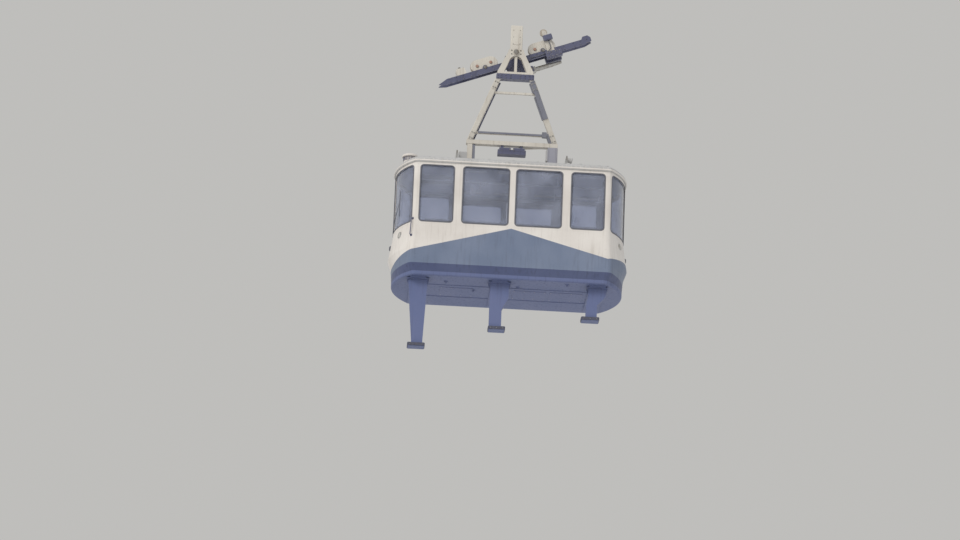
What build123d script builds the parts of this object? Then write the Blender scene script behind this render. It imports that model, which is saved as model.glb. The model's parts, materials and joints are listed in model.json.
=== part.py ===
from build123d import *
import os
from math import cos, radians, sin, sqrt

os.makedirs("parts", exist_ok=True)

# Aerial tramway car in millimetres: a carriage whose wheels roll along one inclined running
# line, a hanger that swings below it and a cabin with two sliding doors. X runs uphill, Z is
# up, the side with the three legs faces -Y, and the origin is on the running line at mid
# carriage.

# Running line and carriage
rope_slope = radians(20.5)
rope_radius = 22.5
rope_clearance = 1.0
carriage_half_length = 1520.0
wheel_tread_radius = 112.0
wheel_flange_radius = 130.0
wheel_width = 60.0
wheel_hub_width = 64.0
wheel_hub_radius = 46.0
wheel_web = 26.0
wheel_rim_depth = 42.0
groove_radius = 24.0
rocker_places = (-575.0, 575.0)
rocker_half_pitch = 135.0
rocker_pivot_height = 65.0
rocker_cheek_radius = 125.0
rocker_plate = 12.0
rocker_gap = 6.0
axle_radius = 20.0
running_fit = 0.05
seat_gap = 0.3
side_plate = 16.0
side_plate_inner = 62.0
side_plate_half_height = 55.0
spacer_places = (-1300.0, -1170.0, -880.0, 880.0, 1170.0, 1430.0)
spacer_radius = 14.0
spacer_wall = 5.0
pin_head = 14.0
horn_outer = 1475.0
horn_inner = 1375.0
horn_foot = 1340.0
horn_top = 105.0
tip_height = -10.0
brake_low_u = 590.0
brake_high_u = 900.0
brake_bottom = -155.0
brake_top = -15.0
brake_depth = 87.0
yoke_half_length = 175.0
yoke_cheek = 22.0
yoke_top = 160.0
yoke_bottom = -285.0
jaw_half_length = 150.0
jaw_split = 6.0
jaw_top = 48.0
jaw_bottom = -75.0
haul_line_drop = 235.0
haul_rope_radius = 12.0
haul_pin_place = 240.0
haul_socket_end = 850.0
roller_u = 700.0
roller_v = 400.0
roller_radius = 70.0
roller_width = 50.0
roller_groove = 16.0
roller_pin = 14.0

# Hanger
pivot_height = 95.0
pivot_radius = 30.0
head_y = -280.0
head_depth = 120.0
head_base = -345.0
head_top = 160.0
head_base_half = 340.0
head_top_half = 150.0
arch_base = -300.0
arch_spring = -80.0
arch_top = 20.0
arch_base_half = 215.0
arch_spring_half = 125.0
crosshead_bottom = -450.0
crosshead_half = 355.0
crosshead_depth = 140.0
leg_top_x = 325.0
leg_bottom_x = 800.0
leg_width = 105.0
leg_depth = 110.0
lower_beam_top = -1590.0
lower_beam_bottom = -1670.0
lower_beam_half = 860.0
lower_beam_depth = 120.0
mast_width = 225.0
mast_top = 635.0
foot_x = 790.0
foot_width = 95.0
bolster_half = 430.0

# Cabin shell
cabin_half_width = 950.0
cabin_corner = 1800.0
cabin_nose = 2150.0
corner_radius = 120.0
flare_half_width = cabin_half_width + 60
flare_corner = cabin_corner + 50
lip_nose = cabin_nose + 75
tuck_nose = cabin_nose + 15
flare_nose = cabin_nose
pan_half_width = flare_half_width - 60
pan_corner = flare_corner - 60
pan_nose = flare_nose - 5
past_nose = lip_nose + 100
wall = 45.0
wall_top = -2385.0
flare_start = -3600.0
lip_height = -4060.0
tuck_height = -4230.0
wall_bottom = -4362.0
rail_bottom = -4500.0
underside = -4575.0
rail_width = 60.0
panel_joint = 1745.0
side_box_y = flare_half_width + 190

# Windows, doors and paint line
window_top = -2443.0
window_sill = -3537.0
window_corner = 60.0
glass = 8.0
glass_depth = 18.0
glass_gap = 0.2
end_pillar = 120.0
end_window_margin = 50.0
end_window_width = cabin_half_width - end_window_margin - end_pillar / 2
end_window_y = (end_pillar + end_window_width) / 2
paint_apex = -3600.0
paint_fall = 0.2746
door_half = 900.0
door_head = -2470.0
leaf_width = 975.0
leaf_meeting = 5.0
leaf_gap = 10.0
leaf = 40.0
leaf_top = -2455.0
leaf_bottom = -4345.0

# Roof
roof_overhang = 20.0
roof_shell_thickness = 35.0
roof_edge = -2318.0
roof_crown = -2180.0

# Outlines of the roof skin: how far in from its edge, height, rounding of the corners
roof_table = (
    (0.0, roof_edge, 120.0),
    (95.0, -2250.0, 220.0),
    (270.0, -2202.0, 300.0),
    (500.0, roof_crown, 260.0),
)

# Service hoops outside the hanger feet, and the roof hatch outside a hoop
hoop_setback = 240.0
hoop_x = foot_x + hoop_setback
hatch_clearance = 60.0
hatch_half = 280.0
hatch_x = hoop_x + hatch_clearance + hatch_half
hatch_cut = 300.0
hatch_wall = 20.0
hatch_rim = -2130.0
lid = 25.0

# Guide legs under the near side. Columns: left and right edge at the top, underside of the wide
# root, left and right edge below, height where the taper ends, foot underside, foot left, foot right
leg_y = 265 - pan_half_width
guide_leg_depth = 130.0
foot_plate = 70.0
foot_plate_depth = 210.0
guide_leg_table = (
    (-1840.0, -1495.0, -4700.0, -1745.0, -1540.0, -5750.0, -5895.0, -1807.0, -1505.0),
    (-340.0, 10.0, -4880.0, -335.0, -110.0, -5100.0, -5505.0, -340.0, -45.0),
    (1476.0, 1799.0, -4760.0, 1442.0, 1644.0, -4930.0, -5235.0, 1365.0, 1680.0),
)

# Side windows: centre X and width of the two on each half
side_window_table = ((492.5, 855.0), (1400.0, 620.0))

rope_axle_height = rope_radius + rope_clearance + wheel_tread_radius
side_plate_outer = side_plate_inner + side_plate
yoke_half_width = side_plate_outer + yoke_cheek
head_near = head_y - head_depth / 2
head_far = head_y + head_depth / 2
rocker_inner = wheel_hub_width / 2 + rocker_gap
rocker_outer = rocker_inner + rocker_plate
roller_low = -side_plate_outer + 4
roller_high = roller_low + roller_width
window_height = window_top - window_sill
window_middle = (window_top + window_sill) / 2


def front(y):
    """Upright plane that faces the near side: local x is X, local y is Z."""
    return Plane(origin=(0, y, 0), x_dir=(1, 0, 0), z_dir=(0, -1, 0))


def slope(y):
    """Plane beside the running line: local x runs uphill, local y stands square to it."""
    return Plane(origin=(0, y, 0), x_dir=(cos(rope_slope), 0, sin(rope_slope)), z_dir=(0, -1, 0))


def rope_point(u, v):
    """X and Z of a point u along the running line and v square above it."""
    return u * cos(rope_slope) - v * sin(rope_slope), u * sin(rope_slope) + v * cos(rope_slope)


def slope_point(x, z):
    """Distance along the running line and height above it of a point given by X and Z."""
    return x * cos(rope_slope) + z * sin(rope_slope), z * cos(rope_slope) - x * sin(rope_slope)


pivot_u, pivot_v = slope_point(0, pivot_height)

# Carriage side plates
with BuildPart() as side_plates:
    for plate_face in (side_plate_outer, -side_plate_inner):
        with BuildSketch(slope(plate_face)):
            with BuildLine():
                Polyline(
                    (-carriage_half_length, -20),
                    (140 - carriage_half_length, -side_plate_half_height),
                    (carriage_half_length - 140, -side_plate_half_height),
                    (carriage_half_length, -20),
                    (carriage_half_length, side_plate_half_height),
                    (horn_outer, horn_top),
                    (horn_inner, horn_top),
                    (horn_foot, side_plate_half_height),
                    (-horn_foot, side_plate_half_height),
                    (-carriage_half_length, tip_height),
                    close=True,
                )
            make_face()
            for rocker in rocker_places:
                with Locations((rocker, rocker_pivot_height)):
                    Circle(46)
                    Circle(axle_radius + running_fit, mode=Mode.SUBTRACT)
        extrude(amount=side_plate)
side_plates.part.label = "carriage_side_plates"
export_step(side_plates.part, "parts/carriage_side_plates.step")

# Tubes that hold the side plates apart
with BuildPart() as spacers:
    for place in spacer_places:
        with BuildSketch(slope(side_plate_inner)):
            with Locations((place, side_plate_half_height - spacer_radius)):
                Circle(spacer_radius)
                Circle(spacer_radius - spacer_wall, mode=Mode.SUBTRACT)
        extrude(amount=2 * side_plate_inner)
spacers.part.label = "carriage_spacers"
export_step(spacers.part, "parts/carriage_spacers.step")

# Rockers: two cheeks each, which carry two wheels and cover them to the rim
with BuildPart() as rocker_plates:
    for plate_face in (rocker_outer, -rocker_inner):
        for rocker in rocker_places:
            with BuildSketch(slope(plate_face)):
                for end in (-1, 1):
                    with Locations((rocker + end * rocker_half_pitch, rope_axle_height)):
                        Circle(rocker_cheek_radius)
                make_hull()
                for end in (-1, 1):
                    with Locations((rocker + end * rocker_half_pitch, rope_axle_height)):
                        Circle(axle_radius + running_fit, mode=Mode.SUBTRACT)
                with Locations((rocker, rocker_pivot_height)):
                    Circle(axle_radius + running_fit, mode=Mode.SUBTRACT)
            extrude(amount=rocker_plate)
rocker_plates.part.label = "rocker_plates"
export_step(rocker_plates.part, "parts/rocker_plates.step")


def slope_disc(u, v, radius, y_low, y_high):
    """Round bar square to the side plates, from y_low to y_high, added to the part being built."""
    with BuildSketch(slope(y_high)) as disc:
        with Locations((u, v)):
            Circle(radius)
    extrude(disc.sketch, amount=y_high - y_low)


# Rocker pins with their collars and heads, and the haul socket's pin
with BuildPart() as carriage_pins:
    for u in rocker_places:
        v = rocker_pivot_height
        slope_disc(u, v, axle_radius, -side_plate_outer - pin_head, side_plate_outer + pin_head)
        for face in (-1, 1):
            collar = sorted((face * (rocker_outer + seat_gap), face * (side_plate_inner - seat_gap)))
            slope_disc(u, v, 30, collar[0], collar[1])
            head = sorted((face * (side_plate_outer + seat_gap), face * (side_plate_outer + pin_head)))
            slope_disc(u, v, 32, head[0], head[1])
    slope_disc(haul_pin_place, -haul_line_drop, axle_radius, -yoke_half_width - 12, yoke_half_width + 12)
    for face in (-1, 1):
        head = sorted((face * (yoke_half_width + seat_gap), face * (yoke_half_width + 12)))
        slope_disc(haul_pin_place, -haul_line_drop, 30, head[0], head[1])
carriage_pins.part.label = "carriage_pins"
export_step(carriage_pins.part, "parts/carriage_pins.step")

# Wheel places, from the downhill end
wheel_places = sorted(rocker + end * rocker_half_pitch for rocker in rocker_places for end in (-1, 1))

# Wheel axles
with BuildPart() as wheel_axles:
    for u in wheel_places:
        slope_disc(u, rope_axle_height, axle_radius, -rocker_outer - 8, rocker_outer + 8)
        for face in (-1, 1):
            head = sorted((face * (rocker_outer + seat_gap), face * (rocker_outer + 8)))
            slope_disc(u, rope_axle_height, 28, head[0], head[1])
wheel_axles.part.label = "wheel_axles"
export_step(wheel_axles.part, "parts/wheel_axles.step")

# Grooved wheels
groove_half = sqrt(groove_radius**2 - (wheel_tread_radius + groove_radius - wheel_flange_radius) ** 2)
rim_inner = wheel_flange_radius - wheel_rim_depth
for number, u in enumerate(wheel_places, start=1):
    wheel_x, wheel_z = rope_point(u, rope_axle_height)
    with BuildPart() as wheel:
        with BuildSketch(Plane(origin=(wheel_x, 0, wheel_z), x_dir=(1, 0, 0), z_dir=(0, 0, 1))):
            with BuildLine():
                bore = axle_radius + running_fit
                Polyline(
                    (wheel_flange_radius, -groove_half),
                    (wheel_flange_radius, -wheel_width / 2),
                    (rim_inner, -wheel_width / 2),
                    (rim_inner, -wheel_web / 2),
                    (wheel_hub_radius, -wheel_web / 2),
                    (wheel_hub_radius, -wheel_hub_width / 2),
                    (bore, -wheel_hub_width / 2),
                    (bore, wheel_hub_width / 2),
                    (wheel_hub_radius, wheel_hub_width / 2),
                    (wheel_hub_radius, wheel_web / 2),
                    (rim_inner, wheel_web / 2),
                    (rim_inner, wheel_width / 2),
                    (wheel_flange_radius, wheel_width / 2),
                    (wheel_flange_radius, groove_half),
                )
                ThreePointArc(
                    (wheel_flange_radius, groove_half),
                    (wheel_tread_radius, 0),
                    (wheel_flange_radius, -groove_half),
                )
            make_face()
        revolve(axis=Axis((wheel_x, 0, wheel_z), (0, 1, 0)))
    wheel.part.label = f"wheel_{number}"
    export_step(wheel.part, f"parts/wheel_{number}.step")

# Yoke that carries the main pivot pin and the haul socket
with BuildPart() as yoke:
    with BuildSketch(slope(yoke_half_width)):
        with BuildLine():
            Polyline(
                (-yoke_half_length, side_plate_half_height),
                (yoke_half_length, side_plate_half_height),
                (yoke_half_length - 25, yoke_top),
                (25 - yoke_half_length, yoke_top),
                close=True,
            )
        make_face()
    extrude(amount=2 * yoke_half_width)
    for cheek_face in (yoke_half_width, -side_plate_outer):
        with BuildSketch(slope(cheek_face)):
            with BuildLine():
                Polyline(
                    (25 - yoke_half_length, yoke_top),
                    (yoke_half_length - 25, yoke_top),
                    (yoke_half_length, side_plate_half_height),
                    (yoke_half_length, -150),
                    (haul_pin_place + 50, -haul_line_drop + 50),
                    (haul_pin_place + 50, yoke_bottom),
                    (haul_pin_place - 140, yoke_bottom),
                    (-60, -200),
                    (-yoke_half_length, -150),
                    (-yoke_half_length, side_plate_half_height),
                    close=True,
                )
            make_face()
        extrude(amount=yoke_cheek)
    with BuildSketch(slope(yoke_half_width)):
        with Locations((pivot_u, pivot_v)):
            Circle(pivot_radius + running_fit)
        with Locations((haul_pin_place, -haul_line_drop)):
            Circle(axle_radius + running_fit)
    extrude(amount=2 * yoke_half_width, mode=Mode.SUBTRACT)
yoke.part.label = "carriage_yoke"
export_step(yoke.part, "parts/carriage_yoke.step")

# Brake jaws, one from each side, with a round channel between them
with BuildPart() as brake_jaws:
    for jaw_face in (side_plate_inner - seat_gap, -jaw_split):
        with BuildSketch(slope(jaw_face)):
            with Locations((0, (jaw_top + jaw_bottom) / 2)):
                RectangleRounded(2 * jaw_half_length, jaw_top - jaw_bottom, 12)
        extrude(amount=side_plate_inner - seat_gap - jaw_split)
    rope_normal = (cos(rope_slope), 0, sin(rope_slope))
    with BuildSketch(Plane(origin=(0, 0, 0), x_dir=(0, 1, 0), z_dir=rope_normal)):
        Circle(rope_radius)
    extrude(amount=carriage_half_length, both=True, mode=Mode.SUBTRACT)
brake_jaws.part.label = "brake_jaws"
export_step(brake_jaws.part, "parts/brake_jaws.step")

# Main pivot pin, stepped against the yoke and the hanger head
with BuildPart() as pivot_pin:
    slope_disc(pivot_u, pivot_v, pivot_radius, head_near - 32, yoke_half_width + 12)
    slope_disc(pivot_u, pivot_v, 46, yoke_half_width + seat_gap, yoke_half_width + 12)
    slope_disc(pivot_u, pivot_v, 48, head_far + 0.5, -yoke_half_width - seat_gap)
    slope_disc(pivot_u, pivot_v, 48, head_near - 32, head_near - 12.5)
pivot_pin.part.label = "main_pivot_pin"
export_step(pivot_pin.part, "parts/main_pivot_pin.step")

# Haul socket, a long cone pinned between the yoke's cheeks
socket_x, socket_z = rope_point(0, -haul_line_drop)
socket_plane = Plane(origin=(socket_x, 0, socket_z), x_dir=rope_normal, z_dir=(0, -1, 0))
with BuildPart() as haul_socket:
    with BuildSketch(socket_plane):
        with BuildLine():
            Polyline(
                (haul_pin_place + 70, 0),
                (haul_pin_place + 70, 44),
                (haul_socket_end - 260, 44),
                (haul_socket_end, 27),
                (haul_socket_end, haul_rope_radius),
                (haul_socket_end - 200, haul_rope_radius),
                (haul_socket_end - 200, 0),
                close=True,
            )
        make_face()
    revolve(axis=Axis((socket_x, 0, socket_z), rope_normal))
    with BuildSketch(slope(side_plate_outer - seat_gap)):
        with Locations((haul_pin_place, -haul_line_drop)):
            Circle(45)
        with Locations((haul_pin_place + 45, -haul_line_drop)):
            Rectangle(90, 88)
        with Locations((haul_pin_place, -haul_line_drop)):
            Circle(axle_radius + running_fit, mode=Mode.SUBTRACT)
    extrude(amount=2 * (side_plate_outer - seat_gap))
haul_socket.part.label = "haul_rope_socket"
export_step(haul_socket.part, "parts/haul_rope_socket.step")

# Housings of the brake's springs, one on each side plate of the uphill arm
brake_middle = ((brake_low_u + brake_high_u) / 2, (brake_bottom + brake_top) / 2)
with BuildPart() as brake_housings:
    for housing_face in (side_plate_outer + brake_depth, -side_plate_outer):
        with BuildSketch(slope(housing_face)):
            with Locations(brake_middle):
                RectangleRounded(brake_high_u - brake_low_u, brake_top - brake_bottom, 22)
        extrude(amount=brake_depth)
brake_housings.part.label = "brake_housings"
export_step(brake_housings.part, "parts/brake_housings.step")

# Lubricator across the side plates of the downhill arm
lubricator_low_u = -1130.0
lubricator_high_u = -950.0
lubricator_top = 185.0
lubricator_slant = 25.0
with BuildPart() as rope_lubricator:
    with BuildSketch(slope(side_plate_outer)):
        with BuildLine():
            Polyline(
                (lubricator_low_u, side_plate_half_height),
                (lubricator_high_u, side_plate_half_height),
                (lubricator_high_u, lubricator_top - lubricator_slant),
                (lubricator_high_u - lubricator_slant, lubricator_top),
                (lubricator_low_u + lubricator_slant, lubricator_top),
                (lubricator_low_u, lubricator_top - lubricator_slant),
                close=True,
            )
        make_face()
    extrude(amount=2 * side_plate_outer)
rope_lubricator.part.label = "rope_lubricator"
export_step(rope_lubricator.part, "parts/rope_lubricator.step")

# Bracket on the near brake housing, with a small roller above the uphill arm
bracket_plate = 14.0
bracket_base = 10.0
with BuildPart() as roller_bracket:
    with BuildSketch(slope(-side_plate_outer)) as arm:
        with BuildLine():
            Polyline(
                (roller_u - 55, brake_top),
                (roller_u + 95, brake_top),
                (roller_u + 45, roller_v),
                (roller_u + 20, roller_v + 35),
                (roller_u - 20, roller_v + 35),
                (roller_u - 35, roller_v - 20),
                close=True,
            )
        make_face()
    extrude(arm.sketch, amount=bracket_plate)
    with BuildSketch(slope(-side_plate_outer)) as base:
        with Locations((roller_u + 20, brake_top + bracket_base / 2)):
            Rectangle(190, bracket_base)
    extrude(base.sketch, amount=60)
    slope_disc(roller_u, roller_v, roller_pin, -side_plate_outer - 1, roller_high + 8)
    slope_disc(roller_u, roller_v, roller_pin + 10, roller_high + 0.5, roller_high + 8)
roller_bracket.part.label = "guide_roller_bracket"
export_step(roller_bracket.part, "parts/guide_roller_bracket.step")

roller_x, roller_z = rope_point(roller_u, roller_v)
with BuildPart() as guide_roller:
    with BuildSketch(Plane(origin=(roller_x, 0, roller_z), x_dir=(1, 0, 0), z_dir=(0, 0, 1))):
        with BuildLine():
            Polyline(
                (roller_pin + running_fit, roller_low),
                (roller_radius, roller_low),
                (roller_radius - roller_groove, (roller_low + roller_high) / 2),
                (roller_radius, roller_high),
                (roller_pin + running_fit, roller_high),
                close=True,
            )
        make_face()
    revolve(axis=Axis((roller_x, 0, roller_z), (0, 1, 0)))
guide_roller.part.label = "guide_roller"
export_step(guide_roller.part, "parts/guide_roller.step")

# Hanger head, a closed bell-shaped box with an arched opening
with BuildPart() as hanger_head:
    with BuildSketch(front(head_far)) as head_face:
        with BuildLine():
            Polyline(
                (-head_base_half, head_base),
                (head_base_half, head_base),
                (head_base_half, head_base + 45),
                (head_top_half, head_top - 60),
                (head_top_half, head_top),
                (-head_top_half, head_top),
                (-head_top_half, head_top - 60),
                (-head_base_half, head_base + 45),
                close=True,
            )
        make_face()
        fillet(head_face.vertices().group_by(Axis.Y)[-1], 50)
        with BuildLine():
            Polyline(
                (arch_spring_half, arch_spring),
                (arch_base_half, arch_base),
                (-arch_base_half, arch_base),
                (-arch_spring_half, arch_spring),
            )
            ThreePointArc(
                (-arch_spring_half, arch_spring),
                (0, arch_top),
                (arch_spring_half, arch_spring),
            )
        make_face(mode=Mode.SUBTRACT)
    extrude(amount=head_depth)
    with BuildSketch(front(head_near)):
        with Locations((0, pivot_height)):
            Circle(62)
    extrude(amount=12)
    with BuildSketch(front(head_far)):
        with Locations((0, pivot_height)):
            Circle(pivot_radius + running_fit)
    extrude(amount=head_depth + 12, mode=Mode.SUBTRACT)
hanger_head.part.label = "hanger_head"
export_step(hanger_head.part, "parts/hanger_head.step")

# Upright stay in the arched opening
with BuildPart() as head_stay:
    with BuildSketch(front(head_y + 20)):
        with BuildLine():
            Polyline(
                (-26, arch_base),
                (26, arch_base),
                (26, arch_top - 3),
                (-26, arch_top - 3),
                close=True,
            )
        make_face()
    extrude(amount=60)
head_stay.part.label = "hanger_head_stay"
export_step(head_stay.part, "parts/hanger_head_stay.step")

# Housing of the swing damper on top of the head
with BuildPart() as damper_housing:
    with BuildSketch(Plane.XY.offset(head_top)):
        with Locations((0, head_y)):
            RectangleRounded(mast_width, head_depth, 15)
    extrude(amount=mast_top - head_top)
    fillet(damper_housing.faces().sort_by(Axis.Z)[-1].edges(), 12)
damper_housing.part.label = "damper_housing"
export_step(damper_housing.part, "parts/damper_housing.step")

# Crosshead under the head
with BuildPart() as crosshead:
    with BuildSketch(front(head_y + crosshead_depth / 2)):
        with Locations((0, (head_base + crosshead_bottom) / 2)):
            RectangleRounded(2 * crosshead_half, head_base - crosshead_bottom, 18)
    extrude(amount=crosshead_depth)
crosshead.part.label = "hanger_crosshead"
export_step(crosshead.part, "parts/hanger_crosshead.step")


def leg_share(z):
    """How far down the hanger leg a height lies, 0 at the crosshead and 1 at the lower beam."""
    return (crosshead_bottom - z) / (crosshead_bottom - lower_beam_top)


def leg_inner_x(z):
    """X of the leg's inner face at a height."""
    return leg_top_x + (leg_bottom_x - leg_top_x) * leg_share(z) - leg_width / 2


# Hanger legs, which lean out along X and back to the cabin's middle plane
with BuildPart() as hanger_legs:
    for side in (-1, 1):
        with BuildSketch(Plane.XY.offset(crosshead_bottom)):
            with Locations((side * leg_top_x, head_y)):
                RectangleRounded(leg_width, leg_depth, 12)
        with BuildSketch(Plane.XY.offset(lower_beam_top)):
            with Locations((side * leg_bottom_x, 0)):
                RectangleRounded(leg_width, leg_depth, 12)
        loft(ruled=True)
hanger_legs.part.label = "hanger_legs"
export_step(hanger_legs.part, "parts/hanger_legs.step")

# Tie bars between the legs: middle height and bar height
tie_bar_table = ((-690.0, 40.0), (-1440.0, 46.0))
tie_bar_depth = 40.0
with BuildPart() as tie_bars:
    for middle, height in tie_bar_table:
        bar_y = head_y * (1 - leg_share(middle))
        upper = middle + height / 2
        lower = middle - height / 2
        with BuildSketch(front(bar_y + tie_bar_depth / 2)):
            with BuildLine():
                Polyline(
                    (-leg_inner_x(upper), upper),
                    (leg_inner_x(upper), upper),
                    (leg_inner_x(lower), lower),
                    (-leg_inner_x(lower), lower),
                    close=True,
                )
            make_face()
        extrude(amount=tie_bar_depth)
tie_bars.part.label = "hanger_tie_bars"
export_step(tie_bars.part, "parts/hanger_tie_bars.step")

# Lower beam of the hanger
with BuildPart() as lower_beam:
    with BuildSketch(front(lower_beam_depth / 2)):
        with Locations((0, (lower_beam_top + lower_beam_bottom) / 2)):
            RectangleRounded(2 * lower_beam_half, lower_beam_top - lower_beam_bottom, 14)
    extrude(amount=lower_beam_depth)
lower_beam.part.label = "hanger_lower_beam"
export_step(lower_beam.part, "parts/hanger_lower_beam.step")

# Equipment box hung under the lower beam
box_half = 265.0
box_top = -1770.0
box_bottom = -1860.0
with BuildPart() as equipment_box:
    with Locations((0, -20, (box_top + box_bottom) / 2)):
        Box(2 * box_half, 170, box_top - box_bottom)
    fillet(equipment_box.edges().filter_by(Axis.Z), 20)
    for side in (-1, 1):
        with Locations((side * 180, 0, (lower_beam_bottom + box_top) / 2)):
            Box(50, 80, lower_beam_bottom - box_top)
equipment_box.part.label = "equipment_box"
export_step(equipment_box.part, "parts/equipment_box.step")


def plan_outline(half_width, corner, nose, inset, rounding):
    """Cabin plan drawn in the current sketch: flat sides, bowed ends, rounded corners.

    The inset outline keeps parallel to the full one, its arcs on the same centres.
    """
    bow = nose - corner
    end_radius = (half_width**2 + bow**2) / (2 * bow)
    end_centre = nose - end_radius
    w = half_width - inset
    n = nose - inset
    c = end_centre + sqrt((end_radius - inset) ** 2 - w**2)
    with BuildLine() as outline:
        Line((-c, -w), (c, -w))
        ThreePointArc((c, -w), (n, 0), (c, w))
        Line((c, w), (-c, w))
        ThreePointArc((-c, w), (-n, 0), (-c, -w))
    face = make_face(outline.edges())
    fillet(face.vertices(), rounding)


def flare_share(z):
    """How far down the flare a height lies, 0 at its start and 1 at the wall's bottom edge."""
    return (flare_start - z) / (flare_start - wall_bottom)


def flare_y(z):
    """Half width of the cabin at a height on the flare."""
    return cabin_half_width + (flare_half_width - cabin_half_width) * flare_share(z)


# Outlines of the flared wall from its foot up: height and nose. The ends bulge to a lip.
flare_table = (
    (wall_bottom, flare_nose),
    (tuck_height, tuck_nose),
    (lip_height, lip_nose),
    (flare_start, cabin_nose),
)


def cabin_body(inset):
    """Solid of the cabin from the wall's bottom edge to the roof, drawn in by inset."""
    with BuildPart() as body:
        with BuildSketch(Plane.XY.offset(flare_start)):
            plan_outline(cabin_half_width, cabin_corner, cabin_nose, inset, corner_radius - inset)
        extrude(amount=wall_top - flare_start)
        for height, nose in flare_table:
            corner = cabin_corner + (flare_corner - cabin_corner) * flare_share(height)
            with BuildSketch(Plane.XY.offset(height)):
                plan_outline(flare_y(height), corner, nose, inset, corner_radius - inset)
        loft(ruled=True)
    return body.part


with BuildPart() as shell:
    add(cabin_body(0))
    add(cabin_body(wall), mode=Mode.SUBTRACT)

# Paint line: falls evenly from the middle of the side to both corners. It rounds the downhill
# corner and falls on to the wall's foot, and rises a little across the uphill end.
paint_corner = paint_apex - paint_fall * cabin_corner
paint_bend_x = cabin_nose - 30
paint_bend_z = paint_corner - 137
paint_end = lip_nose + 45
paint_uphill_end = paint_corner + 140
paint_low = wall_bottom - 50
with BuildPart() as skirt_zone:
    with BuildSketch(front(side_box_y)):
        with BuildLine():
            Polyline(
                (-cabin_corner, paint_corner),
                (0, paint_apex),
                (cabin_corner, paint_corner),
                (paint_end, paint_uphill_end),
                (paint_end, paint_low),
                (-paint_end, paint_low),
                (-paint_end, wall_bottom),
            )
            ThreePointArc(
                (-paint_end, wall_bottom), (-paint_bend_x, paint_bend_z), (-cabin_corner, paint_corner)
            )
        make_face()
    extrude(amount=2 * side_box_y)

cabin_height = wall_top - wall_bottom
cabin_middle = (wall_top + wall_bottom) / 2


def cut_side_windows(y_outer, widths):
    """Window openings through the side wall that lies towards y_outer."""
    with BuildSketch(front(max(0, y_outer))) as openings:
        for middle, width in widths:
            for half in (-1, 1):
                with Locations((half * middle, window_middle)):
                    RectangleRounded(width, window_height, window_corner)
    extrude(openings.sketch, amount=abs(y_outer), mode=Mode.SUBTRACT)


with BuildPart() as side_wall_near:
    add(shell.part)
    with Locations((0, -side_box_y / 2, cabin_middle)):
        Box(2 * panel_joint, side_box_y, cabin_height, mode=Mode.INTERSECT)
    add(skirt_zone.part, mode=Mode.SUBTRACT)
    cut_side_windows(-side_box_y, side_window_table)
side_wall_near.part.label = "side_wall_near"
export_step(side_wall_near.part, "parts/side_wall_near.step")

with BuildPart() as skirt_near:
    add(shell.part)
    with Locations((0, -side_box_y / 2, cabin_middle)):
        Box(2 * panel_joint, side_box_y, cabin_height, mode=Mode.INTERSECT)
    add(skirt_zone.part, mode=Mode.INTERSECT)
skirt_near.part.label = "skirt_near"
export_step(skirt_near.part, "parts/skirt_near.step")

# Far side, with the doorway
door_height = door_head - wall_bottom
with BuildPart() as side_wall_far:
    add(shell.part)
    with Locations((0, side_box_y / 2, cabin_middle)):
        Box(2 * panel_joint, side_box_y, cabin_height, mode=Mode.INTERSECT)
    add(skirt_zone.part, mode=Mode.SUBTRACT)
    cut_side_windows(side_box_y, side_window_table[1:])
    with Locations((0, side_box_y / 2, (door_head + wall_bottom) / 2)):
        Box(2 * door_half, side_box_y, door_height, mode=Mode.SUBTRACT)
side_wall_far.part.label = "side_wall_far"
export_step(side_wall_far.part, "parts/side_wall_far.step")

with BuildPart() as skirt_far:
    add(shell.part)
    with Locations((0, side_box_y / 2, cabin_middle)):
        Box(2 * panel_joint, side_box_y, cabin_height, mode=Mode.INTERSECT)
    add(skirt_zone.part, mode=Mode.INTERSECT)
    with Locations((0, side_box_y / 2, (door_head + wall_bottom) / 2)):
        Box(2 * door_half, side_box_y, door_height, mode=Mode.SUBTRACT)
skirt_far.part.label = "skirt_far"
export_step(skirt_far.part, "parts/skirt_far.step")


def end_box(side, mode):
    """Keep or cut what lies past the panel joint on one end."""
    with Locations((side * (panel_joint + past_nose) / 2, 0, cabin_middle)):
        Box(past_nose - panel_joint, 2 * side_box_y, cabin_height, mode=mode)


def end_window_faces(gap):
    """Outlines of an end's two windows in the current sketch, drawn in by gap."""
    for half in (-1, 1):
        with Locations((half * end_window_y, window_middle)):
            RectangleRounded(end_window_width - 2 * gap, window_height - 2 * gap, window_corner - gap)


# Bowed ends, each with its two windows
for side, end_name in ((-1, "downhill"), (1, "uphill")):
    with BuildPart() as end_wall:
        add(shell.part)
        end_box(side, Mode.INTERSECT)
        add(skirt_zone.part, mode=Mode.SUBTRACT)
        with BuildSketch(Plane.YZ):
            end_window_faces(0)
        extrude(amount=side * past_nose, mode=Mode.SUBTRACT)
    end_wall.part.label = f"end_wall_{end_name}"
    export_step(end_wall.part, f"parts/end_wall_{end_name}.step")

# Skirts of both ends below the paint line
with BuildPart() as end_skirts:
    add(shell.part)
    with Locations((0, 0, cabin_middle)):
        Box(2 * panel_joint, 2 * side_box_y, cabin_height, mode=Mode.SUBTRACT)
    add(skirt_zone.part, mode=Mode.INTERSECT)
end_skirts.part.label = "end_skirts"
export_step(end_skirts.part, "parts/end_skirts.step")


def side_panes(y_low, widths):
    """Flat panes that fill the side windows, from y_low to one glass thickness further."""
    with BuildSketch(front(y_low + glass)) as panes:
        for middle, width in widths:
            for half in (-1, 1):
                with Locations((half * middle, window_middle)):
                    RectangleRounded(
                        width - 2 * glass_gap, window_height - 2 * glass_gap, window_corner - glass_gap
                    )
    extrude(panes.sketch, amount=glass)


with BuildPart() as glass_near:
    side_panes(-cabin_half_width + glass_depth, side_window_table)
glass_near.part.label = "side_glass_near"
export_step(glass_near.part, "parts/side_glass_near.step")

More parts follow.
